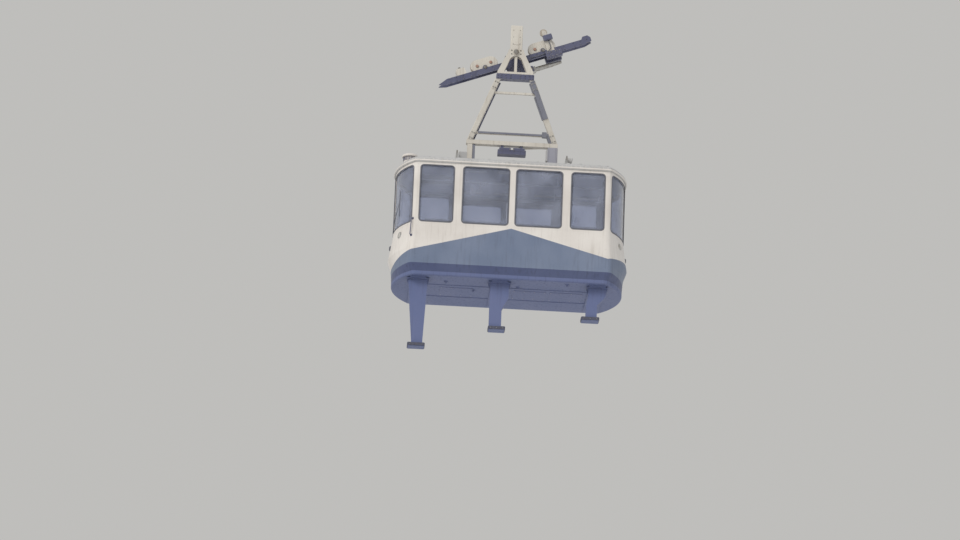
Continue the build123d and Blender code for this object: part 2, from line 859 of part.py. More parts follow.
with BuildPart() as glass_far:
    side_panes(cabin_half_width - glass_depth - glass, side_window_table[1:])
glass_far.part.label = "side_glass_far"
export_step(glass_far.part, "parts/side_glass_far.step")

# Curved panes of the ends
with BuildPart() as end_glass:
    for inset, mode in ((glass_depth, Mode.ADD), (glass_depth + glass, Mode.SUBTRACT)):
        with BuildSketch(Plane.XY.offset(window_sill)):
            plan_outline(cabin_half_width, cabin_corner, cabin_nose, inset, corner_radius - inset)
        extrude(amount=window_height, mode=mode)
    with BuildSketch(Plane.YZ.offset(-past_nose)):
        end_window_faces(glass_gap)
    extrude(amount=2 * past_nose, mode=Mode.INTERSECT)
end_glass.part.label = "end_glass"
export_step(end_glass.part, "parts/end_glass.step")

# Rail round the wall's bottom edge, drawn in towards the pan
with BuildPart() as bottom_rail:
    for inset, mode in ((0, Mode.ADD), (rail_width, Mode.SUBTRACT)):
        with BuildSketch(Plane.XY.offset(rail_bottom)):
            plan_outline(pan_half_width, pan_corner, pan_nose, inset, corner_radius - inset)
        with BuildSketch(Plane.XY.offset(wall_bottom)):
            plan_outline(flare_half_width, flare_corner, flare_nose, inset, corner_radius - inset)
        loft(ruled=True, mode=mode)
bottom_rail.part.label = "bottom_rail"
export_step(bottom_rail.part, "parts/bottom_rail.step")

# Underframe: floor inside the rail and the pan that closes it below
floor_inset = rail_width + seat_gap
with BuildPart() as underframe:
    with BuildSketch(Plane.XY.offset(underside)):
        plan_outline(pan_half_width, pan_corner, pan_nose, 0, corner_radius)
    extrude(amount=rail_bottom - underside)
    fillet(underframe.faces().sort_by(Axis.Z)[0].edges(), 30)
    floor_rounding = corner_radius - floor_inset
    with BuildSketch(Plane.XY.offset(rail_bottom)):
        plan_outline(pan_half_width, pan_corner, pan_nose, floor_inset, floor_rounding)
    with BuildSketch(Plane.XY.offset(wall_bottom)):
        plan_outline(flare_half_width, flare_corner, flare_nose, floor_inset, floor_rounding)
    loft(ruled=True)
underframe.part.label = "underframe"
export_step(underframe.part, "parts/underframe.step")


def roof_body(inset, drop):
    """Solid under the roof skin: an upright edge, then a smooth rise through the table's outlines.

    The plan is drawn in by inset and every height lowered by drop.
    """
    with BuildPart() as dome:
        with BuildSketch(Plane.XY.offset(wall_top)):
            plan_outline(cabin_half_width, cabin_corner, cabin_nose, inset, corner_radius - inset)
        extrude(amount=roof_table[0][1] - drop - wall_top)
        for further_in, height, rounding in roof_table:
            with BuildSketch(Plane.XY.offset(height - drop)):
                plan_outline(
                    cabin_half_width, cabin_corner, cabin_nose, inset + further_in, rounding - inset
                )
        loft()
    return dome.part


# Domed roof with the hatch opening
roof_outer = roof_body(-roof_overhang, 0)
roof_inner = roof_body(wall, roof_shell_thickness)
with BuildPart() as roof_shell:
    add(roof_outer)
    add(roof_inner, mode=Mode.SUBTRACT)
    with Locations((-hatch_x, 0, roof_crown)):
        Box(2 * hatch_half, 2 * hatch_half, hatch_cut, mode=Mode.SUBTRACT)
roof_shell.part.label = "roof_shell"
export_step(roof_shell.part, "parts/roof_shell.step")

# Hatch frame through the roof, with the fixed half of the hinge
hatch_frame_half = hatch_half - seat_gap
hatch_frame_bottom = roof_crown - roof_shell_thickness - 30
hatch_hinge_x = -hatch_x - hatch_half - 25
hatch_hinge_z = hatch_rim + 12
hinge_knuckle = 12.0
hinge_pin = 6.0
knuckle_half = 140.0
ear_outer = 200.0
with BuildPart() as hatch_frame:
    with BuildSketch(Plane.XY.offset(hatch_frame_bottom)):
        with Locations((-hatch_x, 0)):
            Rectangle(2 * hatch_frame_half, 2 * hatch_frame_half)
            Rectangle(2 * (hatch_half - hatch_wall), 2 * (hatch_half - hatch_wall), mode=Mode.SUBTRACT)
    extrude(amount=hatch_rim - hatch_frame_bottom)
    for ear_face in (ear_outer, -knuckle_half - 5):
        with BuildSketch(front(ear_face)):
            with Locations((hatch_hinge_x, hatch_hinge_z)):
                Circle(hinge_knuckle)
            with BuildLine():
                Polyline(
                    (hatch_hinge_x - hinge_knuckle, hatch_hinge_z),
                    (hatch_hinge_x, hatch_hinge_z),
                    (-hatch_x - hatch_frame_half, hatch_rim - 2),
                    (-hatch_x - hatch_frame_half, hatch_rim - 45),
                    close=True,
                )
            make_face()
        extrude(amount=ear_outer - knuckle_half - 5)
    with BuildSketch(front(ear_outer)):
        with Locations((hatch_hinge_x, hatch_hinge_z)):
            Circle(hinge_pin)
    extrude(amount=2 * ear_outer)
hatch_frame.part.label = "hatch_frame"
export_step(hatch_frame.part, "parts/hatch_frame.step")

# Hatch lid
with BuildPart() as hatch_lid:
    with BuildSketch(Plane.XY.offset(hatch_rim + seat_gap)):
        with Locations((-hatch_x + 8, 0)):
            RectangleRounded(2 * hatch_half + 12, 2 * hatch_half + 30, 20)
    extrude(amount=lid)
    with BuildSketch(front(knuckle_half)):
        with Locations((hatch_hinge_x, hatch_hinge_z)):
            Circle(hinge_knuckle)
        with Locations(((hatch_hinge_x - hatch_x - hatch_half + 20) / 2, hatch_hinge_z)):
            Rectangle(hatch_half + hatch_x + hatch_hinge_x + 70, 14)
    extrude(amount=2 * knuckle_half)
    with BuildSketch(front(knuckle_half)):
        with Locations((hatch_hinge_x, hatch_hinge_z)):
            Circle(hinge_pin + running_fit)
    extrude(amount=2 * knuckle_half, mode=Mode.SUBTRACT)
hatch_lid.part.label = "hatch_lid"
export_step(hatch_lid.part, "parts/hatch_lid.step")

# Hanger feet: a post and a bolster on each side, fitted to the roof
bolster_top = roof_crown + 45
with BuildPart() as hanger_feet:
    for side in (-1, 1):
        with Locations((side * foot_x, 0, (lower_beam_bottom + bolster_top) / 2)):
            Box(foot_width, leg_depth, lower_beam_bottom - bolster_top)
        with Locations((side * foot_x, 0, bolster_top - 50)):
            Box(foot_width + 70, 2 * bolster_half, 100)
    add(roof_outer, mode=Mode.SUBTRACT)
hanger_feet.part.label = "hanger_feet"
export_step(hanger_feet.part, "parts/hanger_feet.step")

# Service hoops on the roof outside the hanger feet
hoop_half = 260.0
hoop_top = -1875.0
hoop_tube = 14.0
with BuildPart() as roof_hoops:
    for side in (-1, 1):
        hoop_low = roof_crown - 60
        with BuildLine() as hoop:
            FilletPolyline(
                (side * hoop_x, -hoop_half, hoop_low),
                (side * hoop_x, -hoop_half, hoop_top),
                (side * hoop_x, hoop_half, hoop_top),
                (side * hoop_x, hoop_half, hoop_low),
                radius=70,
            )
        with BuildSketch(Plane(origin=(side * hoop_x, -hoop_half, hoop_low), z_dir=(0, 0, 1))):
            Circle(hoop_tube)
        sweep(path=hoop.line)
    add(roof_outer, mode=Mode.SUBTRACT)
roof_hoops.part.label = "roof_hoops"
export_step(roof_hoops.part, "parts/roof_hoops.step")

# Ventilator near the downhill end of the roof
vent_x = 245 - cabin_nose
vent_y = -330.0
vent_radius = 150.0
vent_height = 115.0
vent_top = roof_crown + vent_height
with BuildPart() as roof_vent:
    with BuildSketch(Plane.XY.offset(roof_edge)):
        with Locations((vent_x, vent_y)):
            Circle(vent_radius - 30)
    extrude(amount=vent_top - 50 - roof_edge)
    with BuildSketch(Plane.XY.offset(vent_top - 50)):
        with Locations((vent_x, vent_y)):
            Circle(vent_radius)
    extrude(amount=50)
    fillet(roof_vent.faces().sort_by(Axis.Z)[-1].edges(), 35)
    add(roof_outer, mode=Mode.SUBTRACT)
roof_vent.part.label = "roof_ventilator"
export_step(roof_vent.part, "parts/roof_ventilator.step")


# Door leaves, which hang outside the far wall and part along X
leaf_inner = cabin_half_width + leaf_gap
leaf_foot = flare_y(leaf_bottom) + leaf_gap
roller_track = -2430.0
door_roller = 15.0
door_roller_places = (150.0, 825.0)
door_window_x = 480.0
door_window_width = 760.0
door_window_height = window_height - 100
door_window_z = window_middle - 50
door_glass_y = leaf_inner + 24
for side, leaf_name in ((-1, "left"), (1, "right")):
    with BuildPart() as leaf_body:
        with BuildSketch(Plane.YZ.offset(side * leaf_meeting)):
            with BuildLine():
                Polyline(
                    (leaf_inner, leaf_top),
                    (leaf_inner, flare_start),
                    (leaf_foot, leaf_bottom),
                    (leaf_foot + leaf, leaf_bottom),
                    (leaf_inner + leaf, flare_start),
                    (leaf_inner + leaf, leaf_top),
                    close=True,
                )
            make_face()
        extrude(amount=side * leaf_width)
    with BuildPart() as door_leaf:
        add(leaf_body.part)
        add(skirt_zone.part, mode=Mode.SUBTRACT)
        with BuildSketch(front(side_box_y)):
            with Locations((side * door_window_x, door_window_z)):
                RectangleRounded(door_window_width, door_window_height, window_corner)
        extrude(amount=side_box_y, mode=Mode.SUBTRACT)
        for place in door_roller_places:
            with Locations((side * place, leaf_inner + 17, roller_track)):
                Box(60, 8, 2 * (roller_track - leaf_top))
            with BuildSketch(front(leaf_inner + 40)):
                with Locations((side * place, roller_track + seat_gap + door_roller)):
                    Circle(door_roller)
            extrude(amount=20)
    door_leaf.part.label = f"door_{leaf_name}"
    export_step(door_leaf.part, f"parts/door_{leaf_name}.step")

    with BuildPart() as door_skirt:
        add(leaf_body.part)
        add(skirt_zone.part, mode=Mode.INTERSECT)
    door_skirt.part.label = f"door_skirt_{leaf_name}"
    export_step(door_skirt.part, f"parts/door_skirt_{leaf_name}.step")

    with BuildPart() as door_glass:
        with BuildSketch(front(door_glass_y)):
            with Locations((side * door_window_x, door_window_z)):
                RectangleRounded(
                    door_window_width - 2 * glass_gap,
                    door_window_height - 2 * glass_gap,
                    window_corner - glass_gap,
                )
        extrude(amount=glass)
    door_glass.part.label = f"door_glass_{leaf_name}"
    export_step(door_glass.part, f"parts/door_glass_{leaf_name}.step")

# Track that the door rollers run on
with BuildPart() as door_track:
    with BuildSketch(Plane.YZ.offset(-panel_joint)):
        with BuildLine():
            Polyline(
                (cabin_half_width, wall_top - 1),
                (leaf_inner + 52, wall_top - 1),
                (leaf_inner + 52, roller_track - 6),
                (leaf_inner + 28, roller_track - 6),
                (leaf_inner + 28, roller_track),
                (leaf_inner + 46, roller_track),
                (leaf_inner + 46, wall_top - 7),
                (cabin_half_width, wall_top - 7),
                close=True,
            )
        make_face()
    extrude(amount=2 * panel_joint)
door_track.part.label = "door_track"
export_step(door_track.part, "parts/door_track.step")

# Sill plate in the doorway
sill_width = 110.0
with BuildPart() as door_sill:
    with BuildSketch(Plane.XY.offset(wall_bottom)):
        with Locations((0, flare_half_width + 10)):
            Rectangle(2 * door_half - 2, sill_width)
    extrude(amount=10)
door_sill.part.label = "door_sill"
export_step(door_sill.part, "parts/door_sill.step")

# Guide legs with their feet
with BuildPart() as guide_legs:
    for row in guide_leg_table:
        top_left, top_right, root, low_left, low_right, taper_end, foot_z, foot_left, foot_right = row
        with BuildSketch(front(leg_y + guide_leg_depth / 2)):
            with BuildLine():
                Polyline(
                    (top_left, underside),
                    (top_right, underside),
                    (top_right, root),
                    (low_right, taper_end),
                    (low_right, foot_z + foot_plate),
                    (low_left, foot_z + foot_plate),
                    (low_left, taper_end),
                    (top_left, root),
                    close=True,
                )
            make_face()
        extrude(amount=guide_leg_depth)
        with Locations(((foot_left + foot_right) / 2, leg_y, foot_z + foot_plate / 2)):
            Box(foot_right - foot_left, foot_plate_depth, foot_plate)
guide_legs.part.label = "guide_legs"
export_step(guide_legs.part, "parts/guide_legs.step")

# Handrails along the side windows inside, on brackets from the wall below the sill
rail_tube = 16.0
rail_z = window_sill + 60
wall_inner = cabin_half_width - wall
rail_y = wall_inner - 50
rail_half = 1600.0
door_rail_start = 960.0
bracket_width = 30.0
bracket_bar = 12.0
bracket_foot = window_sill - 60
bracket_table = (
    (-1, (-1560.0, -1000.0, 0.0, 1000.0, 1560.0)),
    (1, (-1560.0, -1000.0, 1000.0, 1560.0)),
)
with BuildPart() as handrails:
    with BuildSketch(Plane.YZ.offset(-rail_half)):
        with Locations((-rail_y, rail_z)):
            Circle(rail_tube)
    extrude(amount=2 * rail_half)
    for side in (-1, 1):
        with BuildSketch(Plane.YZ.offset(side * door_rail_start)):
            with Locations((rail_y, rail_z)):
                Circle(rail_tube)
        extrude(amount=side * (rail_half - door_rail_start))
    for wall_side, places in bracket_table:
        for place in places:
            with Locations((place, wall_side * rail_y, (rail_z + bracket_foot) / 2)):
                Box(bracket_width, bracket_bar, rail_z - bracket_foot)
            with Locations((place, wall_side * (rail_y + wall_inner) / 2, bracket_foot + bracket_width / 2)):
                Box(bracket_width, wall_inner - rail_y, bracket_width)
handrails.part.label = "handrails"
export_step(handrails.part, "parts/handrails.step")

# Control cabinet on the floor against the uphill end
cabinet_setback = 320.0
cabinet_x = cabin_nose - cabinet_setback
cabinet_depth = 160.0
cabinet_width = 420.0
cabinet_height = 620.0
with BuildPart() as control_cabinet:
    with BuildSketch(Plane.XY.offset(wall_bottom)):
        with Locations((cabinet_x, 0)):
            RectangleRounded(cabinet_depth, cabinet_width, 15)
    extrude(amount=cabinet_height)
control_cabinet.part.label = "control_cabinet"
export_step(control_cabinet.part, "parts/control_cabinet.step")
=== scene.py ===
# %% [markdown]
# # Aerial tramway car, dressed for its picture
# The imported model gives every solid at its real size. This lesson adds what a camera sees on such
# a car: faded enamel, rubber window seals, rivets, bolts, grease caps and the fittings under the
# floor. Each step says what the piece is on the real car, how it could be made and why it is made
# this way here. All lengths are in metres, X runs uphill, Z is up and the side with the three
# guide legs faces -Y.

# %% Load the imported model
import json
import math

import bpy
import numpy as np
from mathutils import Matrix, Vector


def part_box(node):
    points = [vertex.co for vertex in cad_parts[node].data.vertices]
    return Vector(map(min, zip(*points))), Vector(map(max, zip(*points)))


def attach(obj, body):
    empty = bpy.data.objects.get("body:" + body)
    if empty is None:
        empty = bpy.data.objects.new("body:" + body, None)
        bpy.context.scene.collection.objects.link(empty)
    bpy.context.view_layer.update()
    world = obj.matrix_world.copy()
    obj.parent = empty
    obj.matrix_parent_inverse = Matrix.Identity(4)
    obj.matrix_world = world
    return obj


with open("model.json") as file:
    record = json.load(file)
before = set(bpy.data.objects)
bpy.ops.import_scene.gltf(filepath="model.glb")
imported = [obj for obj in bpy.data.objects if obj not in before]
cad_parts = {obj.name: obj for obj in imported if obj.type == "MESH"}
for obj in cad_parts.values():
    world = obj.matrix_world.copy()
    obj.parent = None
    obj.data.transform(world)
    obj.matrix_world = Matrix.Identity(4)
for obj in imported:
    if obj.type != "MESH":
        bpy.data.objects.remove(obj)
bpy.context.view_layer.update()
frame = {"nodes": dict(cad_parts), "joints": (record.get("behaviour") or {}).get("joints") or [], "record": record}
nodes = frame["nodes"]

# %% [markdown]
# ## Camera
# The photo looks up at the car from far below, with a long lens and a slight roll. The direction
# is set by three angles, and the frame by where the middle of the picture falls on the upright
# plane along the car's middle. A long lens from far away keeps near and far edges almost equal.

# %% Camera from three angles
look_up = math.radians(17.5)
look_aside = math.radians(2.5)
roll = math.radians(2.3)
pixels_per_metre = 52.9
picture_width = 960
distance = 80.0
sensor = 36.0
middle_right = -0.503
middle_up = -3.932

right = Vector((math.cos(look_aside), -math.sin(look_aside), 0))
ahead = Vector((math.sin(look_aside), math.cos(look_aside), 0))
up = Vector((0, 0, math.cos(look_up))) - ahead * math.sin(look_up)
forward = up.cross(right)
image_right = right * math.cos(roll) + up * math.sin(roll)
image_up = up * math.cos(roll) - right * math.sin(roll)
eye = right * middle_right + up * middle_up - forward * distance

lens_data = bpy.data.cameras.new("photo_camera")
lens_data.sensor_width = sensor
lens_data.lens = pixels_per_metre * distance * sensor / picture_width
lens_data.clip_end = 2000
camera = bpy.data.objects.new("photo_camera", lens_data)
camera.matrix_world = Matrix((image_right, image_up, -forward)).transposed().to_4x4()
camera.matrix_world.translation = eye
bpy.context.scene.collection.objects.link(camera)
bpy.context.scene.camera = camera
print("camera at", [round(x, 2) for x in eye], "lens", round(lens_data.lens, 1))

# %% [markdown]
# ## Shader nodes
# The air and every finish are small networks of shader nodes. Each could be wired by hand, one
# line for each node, value and link, but one short function says the same in a single line: what
# kind of node, what goes into it and which output is handed on.

# %% One call for each shader node
def feed(tree, node, inputs):
    """Give each socket its value: another node's output is linked, a number or a colour is set."""
    for socket, value in inputs.items():
        target = node.inputs[socket]
        if isinstance(value, bpy.types.NodeSocket):
            tree.links.new(value, target)
        else:
            target.default_value = (*value, 1) if target.type == "RGBA" else value


def add_node(tree, kind, inputs=None, out=0, **settings):
    """New node with its own settings, its sockets fed, and one of its outputs handed back."""
    made = tree.nodes.new("ShaderNode" + kind)
    for name, value in settings.items():
        setattr(made, name, value)
    feed(tree, made, inputs or {})
    return made.outputs[out]


# %% [markdown]
# ## Light and backdrop
# Outdoors such a car hangs in bright, hazy air. Here that is an even pale world plus one wide
# sun from the upper left, soft enough to have no hard shadow. The camera sees the backdrop's own
# colour, so the backdrop can be pale without putting more light on the paint.

# %% World of hazy air
backdrop_colour = (0.52, 0.515, 0.50)
light_colour = (0.98, 1.0, 1.03)
light_strength = 0.66

world = bpy.data.worlds.new("pale_air")
bpy.context.scene.world = world
world.use_nodes = True
air = world.node_tree
air.nodes.clear()
rays = air.nodes.new("ShaderNodeLightPath").outputs
shown = add_node(air, "Math", {0: rays["Is Camera Ray"], 1: rays["Is Glossy Ray"]}, operation="MAXIMUM")
shown = add_node(air, "Math", {0: shown, 1: rays["Is Transmission Ray"]}, operation="MAXIMUM")
lighting = add_node(air, "Background", {"Color": light_colour, "Strength": light_strength})
backdrop = add_node(air, "Background", {"Color": backdrop_colour})
either = add_node(air, "MixShader", {"Fac": shown, 1: lighting, 2: backdrop})
feed(air, air.nodes.new("ShaderNodeOutputWorld"), {"Surface": either})
print("world nodes", len(air.nodes))

# %% [markdown]
# The sun is left out of mirror images, because its disc would turn a flat window pane white from
# some sides. The floor lies deeper than any camera that looks up at the car, so that no view is
# cut off by it.

# %% Sun and floor
sun_data = bpy.data.lights.new("soft_sun", "SUN")
sun_data.energy = 1.5
sun_data.angle = math.radians(25)
sun_data.color = (1.0, 0.97, 0.92)
sun = bpy.data.objects.new("soft_sun", sun_data)
sun_from = Vector((-0.55, -0.75, 0.62))
sun.rotation_mode = "QUATERNION"
sun.rotation_quaternion = sun_from.to_track_quat("Z", "Y")
sun.visible_glossy = False
bpy.context.scene.collection.objects.link(sun)

floor_size = 1200.0
floor_height = -88.0
floor_corners = [(x, y, floor_height) for x, y in floor_size * np.array([[-1, -1], [1, -1], [1, 1], [-1, 1]])]
floor_mesh = bpy.data.meshes.new("floor")
floor_mesh.from_pydata(floor_corners, [], [(0, 1, 2, 3)])
floor = bpy.data.objects.new("floor", floor_mesh)
bpy.context.scene.collection.objects.link(floor)
floor_paint = bpy.data.materials.new("pale_floor")
floor_paint.use_nodes = True
floor_shader = floor_paint.node_tree.nodes["Principled BSDF"]
feed(floor_paint.node_tree, floor_shader, {"Base Color": (0.78, 0.775, 0.76), "Roughness": 0.9})
floor_mesh.materials.append(floor_paint)
bpy.context.scene.view_settings.view_transform = "Standard"
print("floor at", floor_height)

# %% [markdown]
# ## Finishes
# Every finish starts from noise on the object's own coordinates, so neighbouring panels carry on
# each other's pattern. Noise can be stretched along an axis, spread to the range that is wanted,
# and used to blend two colours.

# %% Noise, ranges and blends
def new_finish(name):
    """Empty finish: its material, its node tree, its shader and the object's own coordinates."""
    material = bpy.data.materials.new(name)
    material.use_nodes = True
    tree = material.node_tree
    return material, tree, tree.nodes["Principled BSDF"], add_node(tree, "TexCoord", out="Object")


def ranged(tree, value, to_low, to_high, low=0.0, high=1.0):
    """Value carried from the range low..high to the range to_low..to_high."""
    ends = {"From Min": low, "From Max": high, "To Min": to_low, "To Max": to_high}
    return add_node(tree, "MapRange", {"Value": value, **ends})


def noise(tree, place, scale, detail, low=0.0, high=1.0, stretch=(1, 1, 1)):
    """Noise on coordinates times a factor for each axis, its range low..high spread to 0..1."""
    turned = add_node(tree, "Mapping", {"Vector": place, "Scale": stretch})
    field = add_node(tree, "TexNoise", {"Vector": turned, "Scale": scale, "Detail": detail})
    return ranged(tree, field, 0.0, 1.0, low, high)


def blend(tree, factor, under, over, amount=1.0):
    """Colour that goes from under to over by factor times amount."""
    scaled = add_node(tree, "Math", {0: factor, 1: amount}, operation="MULTIPLY")
    return add_node(tree, "Mix", {0: scaled, 6: under, 7: over}, out=2, data_type="RGBA")


# %% [markdown]
# The car is enamelled steel and aluminium sheet that has been out in the weather. Enamel could be
# one flat colour, but real enamel fades in broad patches, carries thin dirt runs below every
# edge, and has a fine orange-peel surface. One function mixes all three, and on the machinery it
# also chips the paint where an edge is rubbed.

# %% Enamel with fading, dirt runs and orange peel
bare_metal = (0.32, 0.30, 0.28)
speck_share = 0.35
chip_reach = 0.008


def enamel(name, colour, faded, dirt, rough=0.42, runs=0.35, worn=0.0):
    """Paint whose colour drifts towards faded, with upright dirt runs and bare metal on worn edges.

    Broad noise picks how faded a patch is. Noise squeezed along X and Y and stretched along Z
    makes the runs. Worn is how much of each sharp edge shows metal.
    """
    material, tree, shader, place = new_finish(name)
    patches = noise(tree, place, scale=1.7, detail=5, low=0.35, high=0.68)
    run_marks = noise(tree, place, scale=1.0, detail=6, low=0.52, high=0.75, stretch=(22, 22, 1.1))
    specks = noise(tree, place, scale=95, detail=2, low=0.62, high=0.74)
    painted = blend(tree, patches, colour, faded)
    painted = blend(tree, run_marks, painted, dirt, runs)
    painted = blend(tree, specks, painted, dirt, speck_share)
    if worn > 0:
        rounded = add_node(tree, "Bevel", {"Radius": chip_reach}, samples=4)
        surface = add_node(tree, "NewGeometry", out="Normal")
        along = add_node(tree, "VectorMath", {0: rounded, 1: surface}, out="Value", operation="DOT_PRODUCT")
        edge = ranged(tree, along, 0.0, 1.0, low=0.97, high=0.86)
        chips = noise(tree, place, scale=28, detail=4, low=0.42, high=0.58)
        chipped = add_node(tree, "Math", {0: edge, 1: chips}, operation="MULTIPLY")
        painted = blend(tree, chipped, painted, bare_metal, worn)
    gloss = ranged(tree, run_marks, rough, min(1.0, rough + 0.28))
    peel = noise(tree, place, scale=160, detail=2)
    skin = add_node(tree, "Bump", {"Strength": 0.12, "Distance": 0.002, "Height": peel})
    feed(tree, shader, {"Base Color": painted, "Roughness": gloss, "Normal": skin})
    return material


# %% [markdown]
# Bare steel shows on pins, axles and handrails. It could be a mirror-bright metal, but handled and
# greased steel has fine brushing across it and a brown film in places, so roughness and colour
# both follow noise. Rubber is dull and slightly mottled, and the glass carries a thin film of
# dust, which takes away some of the light that passes.

# %% Bare steel, rubber and glazing
def bare_steel(name, colour, film, rough=0.32):
    """Metal with brush lines, which are noise squeezed along Z, and a brown film in patches."""
    material, tree, shader, place = new_finish(name)
    lines = noise(tree, place, scale=40, detail=4, stretch=(1, 1, 60))
    stains = noise(tree, place, scale=7, detail=5, low=0.45, high=0.7)
    gloss = ranged(tree, lines, rough, rough + 0.25)
    stained = blend(tree, stains, colour, film)
    feed(tree, shader, {"Base Color": stained, "Roughness": gloss, "Metallic": 1.0})
    return material


def rubber(name, colour, rough=0.7):
    """Dull rubber: one noise mixes the dark colour with a paler one and raises a fine grain."""
    material, tree, shader, place = new_finish(name)
    mottle = noise(tree, place, scale=30, detail=4)
    paler = [min(1, part * 2.2 + 0.02) for part in colour]
    mixed = blend(tree, mottle, colour, paler)
    grain = add_node(tree, "Bump", {"Strength": 0.2, "Distance": 0.001, "Height": mottle})
    feed(tree, shader, {"Base Color": mixed, "Roughness": rough, "Normal": grain})
    return material


def glazing(name, tint, dust=0.22):
    """Clear tinted glass: the share of light that passes falls as the noise of the dust rises."""
    material, tree, shader, place = new_finish(name)
    film = noise(tree, place, scale=2.4, detail=6)
    clear = ranged(tree, film, 1.0 - dust * 0.6, 1.0 - dust * 1.4, low=0.3, high=0.75)
    dull = ranged(tree, film, 0.01, 0.08)
    feed(tree, shader, {"Base Color": tint, "IOR": 1.45, "Specular IOR Level": 0.2})
    feed(tree, shader, {"Transmission Weight": clear, "Roughness": dull})
    return material


# %% [markdown]
# The colours are the photo's: warm white walls, a slate-blue chevron, a navy bottom rail whose dark
# paint is partly painted shade from the flare's lip above it, indigo under the floor, and cream on
# the hanger and the wheels. The film has faded, so the whites are taken back up to a clean level and
# the blues keep their place against them.

# %% One finish for each slot of the record
# Each row of enamel gives its colour, the colour that it fades to and the colour of its dirt
finishes = {
    "white_paint": enamel(
        "white_enamel", (0.74, 0.70, 0.655), (0.66, 0.615, 0.57), (0.42, 0.37, 0.32), runs=0.30
    ),
    "cream_paint": enamel(
        "cream_enamel", (0.64, 0.605, 0.54), (0.55, 0.51, 0.45), (0.28, 0.23, 0.18), runs=0.4, worn=0.75
    ),
    "slate_blue_paint": enamel(
        "slate_blue_enamel", (0.150, 0.188, 0.275), (0.188, 0.226, 0.315), (0.10, 0.11, 0.14), runs=0.30
    ),
    # Navy rail paint, partly painted shade under the flare's lip
    "navy_paint": enamel("navy_enamel_and_painted_shade", (0.070, 0.088, 0.185), (0.090, 0.110, 0.205), (0.05, 0.055, 0.08)),
    "indigo_paint": enamel(
        "indigo_enamel", (0.116, 0.145, 0.280), (0.138, 0.163, 0.298), (0.075, 0.08, 0.11),
        rough=0.55, worn=0.3,
    ),
    "dark_paint": enamel(
        "greasy_dark_enamel", (0.092, 0.098, 0.165), (0.118, 0.122, 0.188), (0.045, 0.042, 0.046),
        rough=0.38, worn=0.7,
    ),
    "roof_paint": enamel(
        "roof_enamel", (0.50, 0.495, 0.49), (0.42, 0.415, 0.41), (0.20, 0.19, 0.17), rough=0.55
    ),
    "wheel_paint": enamel(
        "wheel_enamel", (0.52, 0.47, 0.40), (0.42, 0.36, 0.30), (0.10, 0.08, 0.06), runs=0.5, worn=0.85
    ),
    "bright_steel": bare_steel("greased_steel", (0.50, 0.49, 0.47), (0.22, 0.17, 0.12)),
    "window_glass": glazing("tinted_glazing", (0.63, 0.675, 0.82)),
    "rail_steel": bare_steel("handled_steel", (0.60, 0.60, 0.59), (0.38, 0.34, 0.30), rough=0.25),
}
slot_of = {row["node"]: row["material_slot"] for row in frame["record"]["subparts"]}
for name, node in nodes.items():
    node.data.materials.clear()
    node.data.materials.append(finishes[slot_of[name]])
print("finishes", len(finishes), "on", len(slot_of), "nodes")

# %% [markdown]
# ## Shapes from arrays
# Seals, rivets, plates and pipes are all grids: a point for each pair of two parameters. A shape
# is kept as its points and its faces, so that shapes can be joined before one helper turns them
# into a mesh that rides on a body of the car.

# %% From a grid of points to a mesh
def grid_faces(rows, columns, wrap_rows=False, wrap_columns=False):
    """Quads between neighbouring rows and columns of a grid, joined round where it wraps."""
    r = np.arange(rows if wrap_rows else rows - 1)
    c = np.arange(columns if wrap_columns else columns - 1)
    r, c = (a.ravel() for a in np.meshgrid(r, c, indexing="ij"))
    row = r * columns
    next_row = (r + 1) % rows * columns
    next_c = (c + 1) % columns
    return np.stack([row + c, row + next_c, next_row + next_c, next_row + c], axis=1)


def joined(shapes):
    """One set of points and faces from several shapes."""
    points = []
    faces = []
    count = 0
    for shape_points, shape_faces in shapes:
        points.append(shape_points)
        faces.extend([corner + count for corner in face] for face in shape_faces)
        count += len(shape_points)
    return np.concatenate(points), faces


def add_mesh(name, shape, slot=None, body="cabin", finish=None, smooth=True):
    """New piece from the points and faces of a shape, riding on a body."""
    points, faces = shape
    mesh = bpy.data.meshes.new(name)
    mesh.from_pydata(points.tolist(), [], faces if isinstance(faces, list) else faces.tolist())
    mesh.polygons.foreach_set("use_smooth", np.full(len(mesh.polygons), smooth))
    mesh.update()
    piece = bpy.data.objects.new(name, mesh)
    bpy.context.scene.collection.objects.link(piece)
    mesh.materials.append(finish or finishes[slot])
    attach(piece, body)


def add_flat(name, shapes, slot=None, body="cabin", finish=None):
    """New piece with flat faces from several shapes."""
    add_mesh(name, joined(shapes), slot, body, finish, smooth=False)


# %% [markdown]
# Cover plates, flanges and brackets are flat steel with a rounded outline and a small bevel where
# the shears left an edge. Each is an outline carried up through its thickness and drawn in at the
# top. Seals, bars and pipes are a profile carried along a path.

# %% Ways of facing, and plates
# The ways of a plate's width and height when it faces that side
faces_near = ((1, 0, 0), (0, 0, 1))
faces_far = ((-1, 0, 0), (0, 0, 1))
faces_uphill = ((0, 1, 0), (0, 0, 1))
faces_downhill = ((0, -1, 0), (0, 0, 1))
faces_down = ((1, 0, 0), (0, -1, 0))
faces_up = ((1, 0, 0), (0, 1, 0))


def unit(way):
    """A direction, or each row of an array of them, at length one."""
    way = np.asarray(way, float)
    return way / np.linalg.norm(way, axis=-1, keepdims=True)


def rounded_rectangle(width, height, radius, per_corner=8):
    """Closed outline: four quarter circles whose centres are the corners drawn in by radius."""
    quarter = np.linspace(0, np.pi / 2, per_corner)
    angle = np.concatenate([quarter + k * np.pi / 2 for k in range(4)])
    side_x = np.repeat([1, -1, -1, 1], per_corner) * (width / 2 - radius)
    side_y = np.repeat([1, 1, -1, -1], per_corner) * (height / 2 - radius)
    normal = np.stack([np.cos(angle), np.sin(angle)], axis=1)
    return np.stack([side_x, side_y], axis=1) + radius * normal, normal


